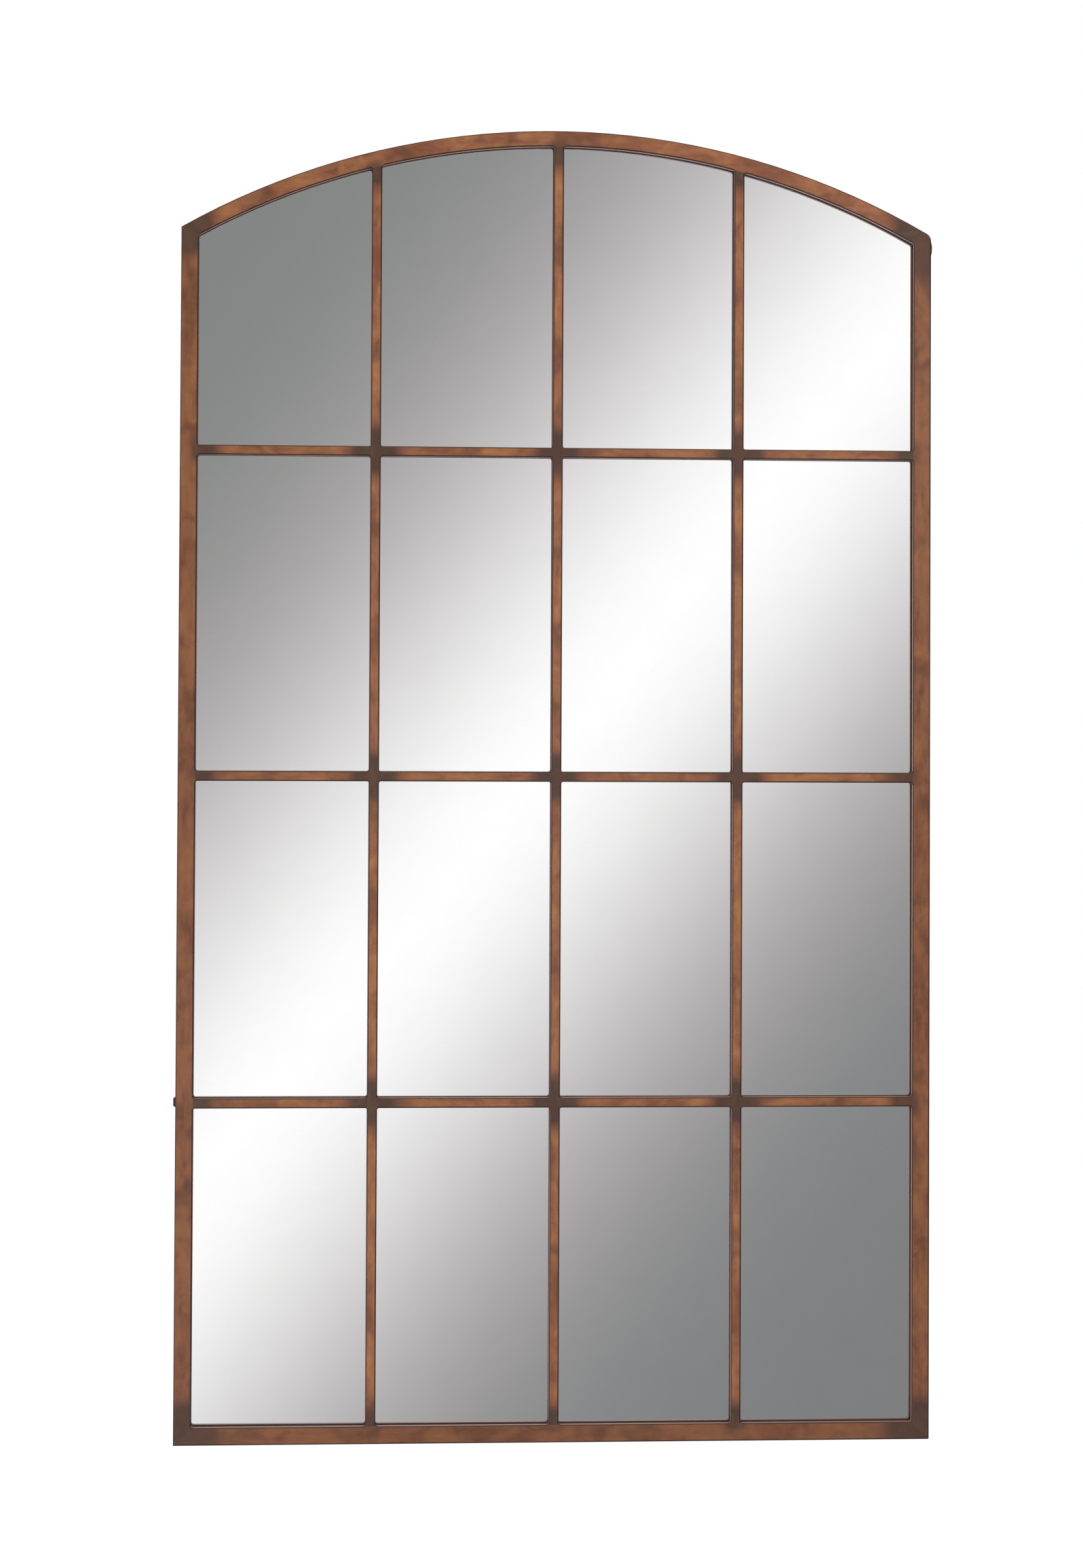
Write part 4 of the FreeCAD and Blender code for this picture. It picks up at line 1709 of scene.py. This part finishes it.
@dataclass
class BumperPair:
    """The rubber bumpers, with a rounded crown and a moulding dimple."""

    rubber: MouldedRubber
    sides: int = 64
    flange: float = 0.8 * MM
    flange_reach: float = 0.7 * MM  # past the waist
    fillet: tuple[float, float] = (0.3 * MM, 0.2 * MM)  # its middle, off the waist and flange
    fillet_height: float = 0.8 * MM
    crown: float = 1.6 * MM
    dimple_radius: float = 2.2 * MM
    dimple_foot: float = 1.7 * MM
    dimple_depth: float = 0.5 * MM

    def build(self) -> None:
        """Builds both bumpers in the place of the plain ones."""
        work = MeshWork()
        for low, high in solids_of("wall_bumpers"):
            middle = (low + high) / 2
            radius, height = (high.x - low.x) / 2, high.y - low.y
            waist, crown = radius - self.flange_reach, self.crown
            profile = [(radius, 0), (radius, self.flange)]
            profile.append((waist + self.fillet[0], self.flange + self.fillet[1]))
            profile.append((waist, self.flange + self.fillet_height))
            for angle in dome_angles(90):
                reach = waist - crown * (1 - math.cos(angle))
                profile.append((reach, height - crown * (1 - math.sin(angle))))
            profile.append((self.dimple_radius, height))
            profile.append((self.dimple_foot, height - self.dimple_depth))
            work.turn(profile, Vector((middle.x, low.y, middle.z)), self.sides)
        settle(work.piece("wall_bumper_pair", crease=50), self.rubber, "frame", ["wall_bumpers"])


# Studio


@dataclass(frozen=True)
class Viewpoint:
    """The camera, at the photograph's viewing angle."""

    place: tuple[float, float, float] = (-0.340, -4.718, 0.961)
    yaw: float = 3.89
    pitch: float = 1.431
    roll: float = 0.267
    lens: float = 84.52  # like the sensor, in millimetres
    sensor: float = 36.0
    rise: float = 0.12  # of the frame's height, so that the uprights stay upright

    def build(self) -> None:
        """Makes the camera and sets it as the scene's."""
        data = bpy.data.cameras.new("viewpoint")
        data.sensor_width, data.lens, data.shift_y = self.sensor, self.lens, -self.rise
        camera = bpy.data.objects.new("viewpoint", data)
        turns = ((-self.yaw, "Z"), (90 + self.pitch, "X"), (self.roll, "Z"))
        camera.matrix_world = Matrix.Translation(Vector(self.place))
        for degrees, axis in turns:
            camera.matrix_world = camera.matrix_world @ Matrix.Rotation(
                math.radians(degrees), 4, axis
            )
        bpy.context.scene.collection.objects.link(camera)
        bpy.context.scene.camera = camera


@dataclass(frozen=True)
class SoftLamp:
    """A square soft box, aimed at the mirror's middle."""

    name: str
    place: tuple[float, float, float]
    width: float
    power: float
    aim: tuple[float, float, float] = (0.0, 0.0, 0.84)

    def build(self) -> None:
        """Makes the lamp."""
        data = bpy.data.lights.new(self.name, "AREA")
        data.shape, data.size, data.energy = "SQUARE", self.width, self.power
        lamp = bpy.data.objects.new(self.name, data)
        lamp.location = self.place
        towards = Vector(self.aim) - Vector(self.place)
        lamp.rotation_mode = "QUATERNION"
        lamp.rotation_quaternion = towards.to_track_quat("-Z", "Y")
        lamp.visible_glossy = False
        bpy.context.scene.collection.objects.link(lamp)


@dataclass
class Studio:
    """A plain pale room: floor, soft lamps and the graded screen that the mirror faces."""

    lamps: tuple[SoftLamp, ...] = (
        SoftLamp("key_lamp", (-1.7, -3.4, 4.2), width=2.0, power=95),
        SoftLamp("fill_lamp", (2.6, -3.6, 2.4), width=2.2, power=42),
        SoftLamp("back_lamp", (0.6, 3.4, 3.6), width=2.4, power=80),
    )
    ambient: float = 0.62
    floor: float = -0.55
    floor_reach: float = 14.0
    floor_colour: tuple = (0.86, 0.86, 0.86, 1.0)
    floor_glow: float = 1.12
    shadow_share: float = 0.22
    screen_distance: float = 2.0
    screen_half_width: float = 1.3
    screen_foot: float = 10 * MM  # above the floor
    screen_top: float = 3.2
    wing_radius: float = 1.5
    wing_steps: int = 18
    streak_x: float = 0.026  # a point of the screen on the middle of its bright streak
    streak_z: float = 0.70
    streak_slope: float = 39.2  # degrees between the streak and the upright
    streak_reach: float = 0.44
    streak_edge: float = 1.8  # power of its falloff
    glow: float = 0.82
    dim_left: float = 0.246
    dim_right: float = 0.226
    tint_left: tuple = (0.962, 1.0, 0.986, 1.0)
    tint_right: tuple = (0.966, 1.0, 1.017, 1.0)
    tint_beside: tuple = (1.033, 1.0, 1.007, 1.0)  # the streak

    def build(self) -> None:
        """Builds the room."""
        self._colour_management()
        self._world()
        self._floor()
        self._screen()
        for lamp in self.lamps:
            lamp.build()
        LOG.info("studio: floor, screen, world and lamps")

    @staticmethod
    def _colour_management() -> None:
        """Shows colours as they are written."""
        bpy.context.scene.view_settings.view_transform = "Standard"

    def _world(self) -> None:
        """White where it is seen, and a plain level of light elsewhere."""
        world = bpy.data.worlds.new("studio_air")
        bpy.context.scene.world = world
        sheet = NodeSheet(world)
        lit = {"Color": WHITE, "Strength": self.ambient}
        light = sheet.add("ShaderNodeBackground", sockets=lit)
        shown = sheet.add("ShaderNodeBackground", sockets={"Color": WHITE, "Strength": 1.0})
        mixed = sheet.add("ShaderNodeMixShader", sockets={0: sheet.seen(), 1: light, 2: shown})
        sheet.finish(mixed, "ShaderNodeOutputWorld")

    def _floor(self) -> None:
        """A pale floor that fades into the white air but keeps the shadow."""
        work = MeshWork()
        reach = self.floor_reach
        corners = ((-reach, -reach), (reach, -reach), (reach, reach), (-reach, reach))
        ring = work.ring_of(Vector((x, y, self.floor)) for x, y in corners)
        work.shape.faces.new(ring)
        floor = work.piece("studio_floor")
        material = bpy.data.materials.new("studio_floor")
        sheet = NodeSheet(material)
        sockets = {"Base Color": self.floor_colour, "Roughness": 0.9}
        pale = sheet.add("ShaderNodeBsdfPrincipled", sockets=sockets)
        white = {"Color": WHITE, "Strength": self.floor_glow}
        shown = sheet.add("ShaderNodeEmission", sockets=white)
        share = sheet.seen() * (1 - self.shadow_share)
        sheet.finish(sheet.add("ShaderNodeMixShader", sockets={0: share, 1: pale, 2: shown}))
        floor.data.materials.append(material)

    def _screen(self) -> None:
        """The screen: flat in front of the mirror, with a curved wing at each side."""
        work = MeshWork()
        half, bend, distance = self.screen_half_width, self.wing_radius, self.screen_distance
        angles = [math.pi / 2 * i / self.wing_steps for i in range(1, self.wing_steps + 1)]
        wing = [(half + bend * math.sin(a), bend * (1 - math.cos(a)) - distance) for a in angles]
        plan = [(-x, y) for x, y in reversed(wing)]
        plan += [(-half, -distance), (half, -distance), *wing]
        levels = (self.floor + self.screen_foot, self.screen_top)
        low, high = ([Vector((x, y, z)) for x, y in plan] for z in levels)
        first, second = work.ring_of(low), work.ring_of(high)
        for i in range(len(plan) - 1):
            work.shape.faces.new((first[i], first[i + 1], second[i + 1], second[i]))
        screen = work.piece("studio_screen")
        screen.data.materials.append(self._screen_material())
        screen.visible_camera = screen.visible_diffuse = screen.visible_shadow = False

    def _screen_material(self) -> bpy.types.Material:
        """Makes the screen's glow: grey with one soft bright streak.

        Returns:
            The material, a little green or blue far from the streak and warm beside it.
        """
        slope = math.radians(self.streak_slope)
        across = Vector((math.cos(slope), 0, -math.sin(slope))) / self.streak_reach
        material = bpy.data.materials.new("studio_screen")
        sheet = NodeSheet(material)
        x, _, z = sheet.along(sheet.place())
        offset = (x - self.streak_x) * across.x + (z - self.streak_z) * across.z
        glow = (0 - abs(offset) ** self.streak_edge).exponential()
        side = offset.step(-1.0, 1.0)
        far = sheet.blend(self.tint_left, self.tint_right, side)
        near = sheet.blend(far, self.tint_beside, glow.step(0.0, 0.16))
        tint = sheet.blend(near, WHITE, glow.step(0.45, 0.9))
        strength = self.dim_left + side * (self.dim_right - self.dim_left) + glow * self.glow
        sheet.finish(sheet.add("ShaderNodeEmission", sockets={"Color": tint, "Strength": strength}))
        return material


def main() -> None:
    """Builds the mirror's looks, sub-assembly by sub-assembly, and then the studio."""
    logging.basicConfig(level=logging.INFO, format="%(message)s")
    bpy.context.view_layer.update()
    Viewpoint().build()
    lines = GridLines.read()
    steel = BrownLacquer("brown_lacquer", Slot.RIM)
    zinc = ZincPlate("zinc_plate", Slot.ZINC)
    weld = WeldScale("weld_scale", Slot.WELD)
    fillet = WeldScale(
        "fillet_scale",
        Slot.WELD,
        dark=display(72, 51, 41),
        light=display(100, 76, 61),
        lines=lines,
    )
    FrontGrid(lines, weld, fillet).build()
    Tray(steel).dress()
    BoardFixings(lines, zinc, weld).build()
    for side in Side:
        Hanger(side, steel, zinc, weld).build()
    RivetSet(zinc).build()
    BumperPair(MouldedRubber("moulded_rubber", Slot.RUBBER)).build()
    Studio().build()


if __name__ == "__main__":
    main()
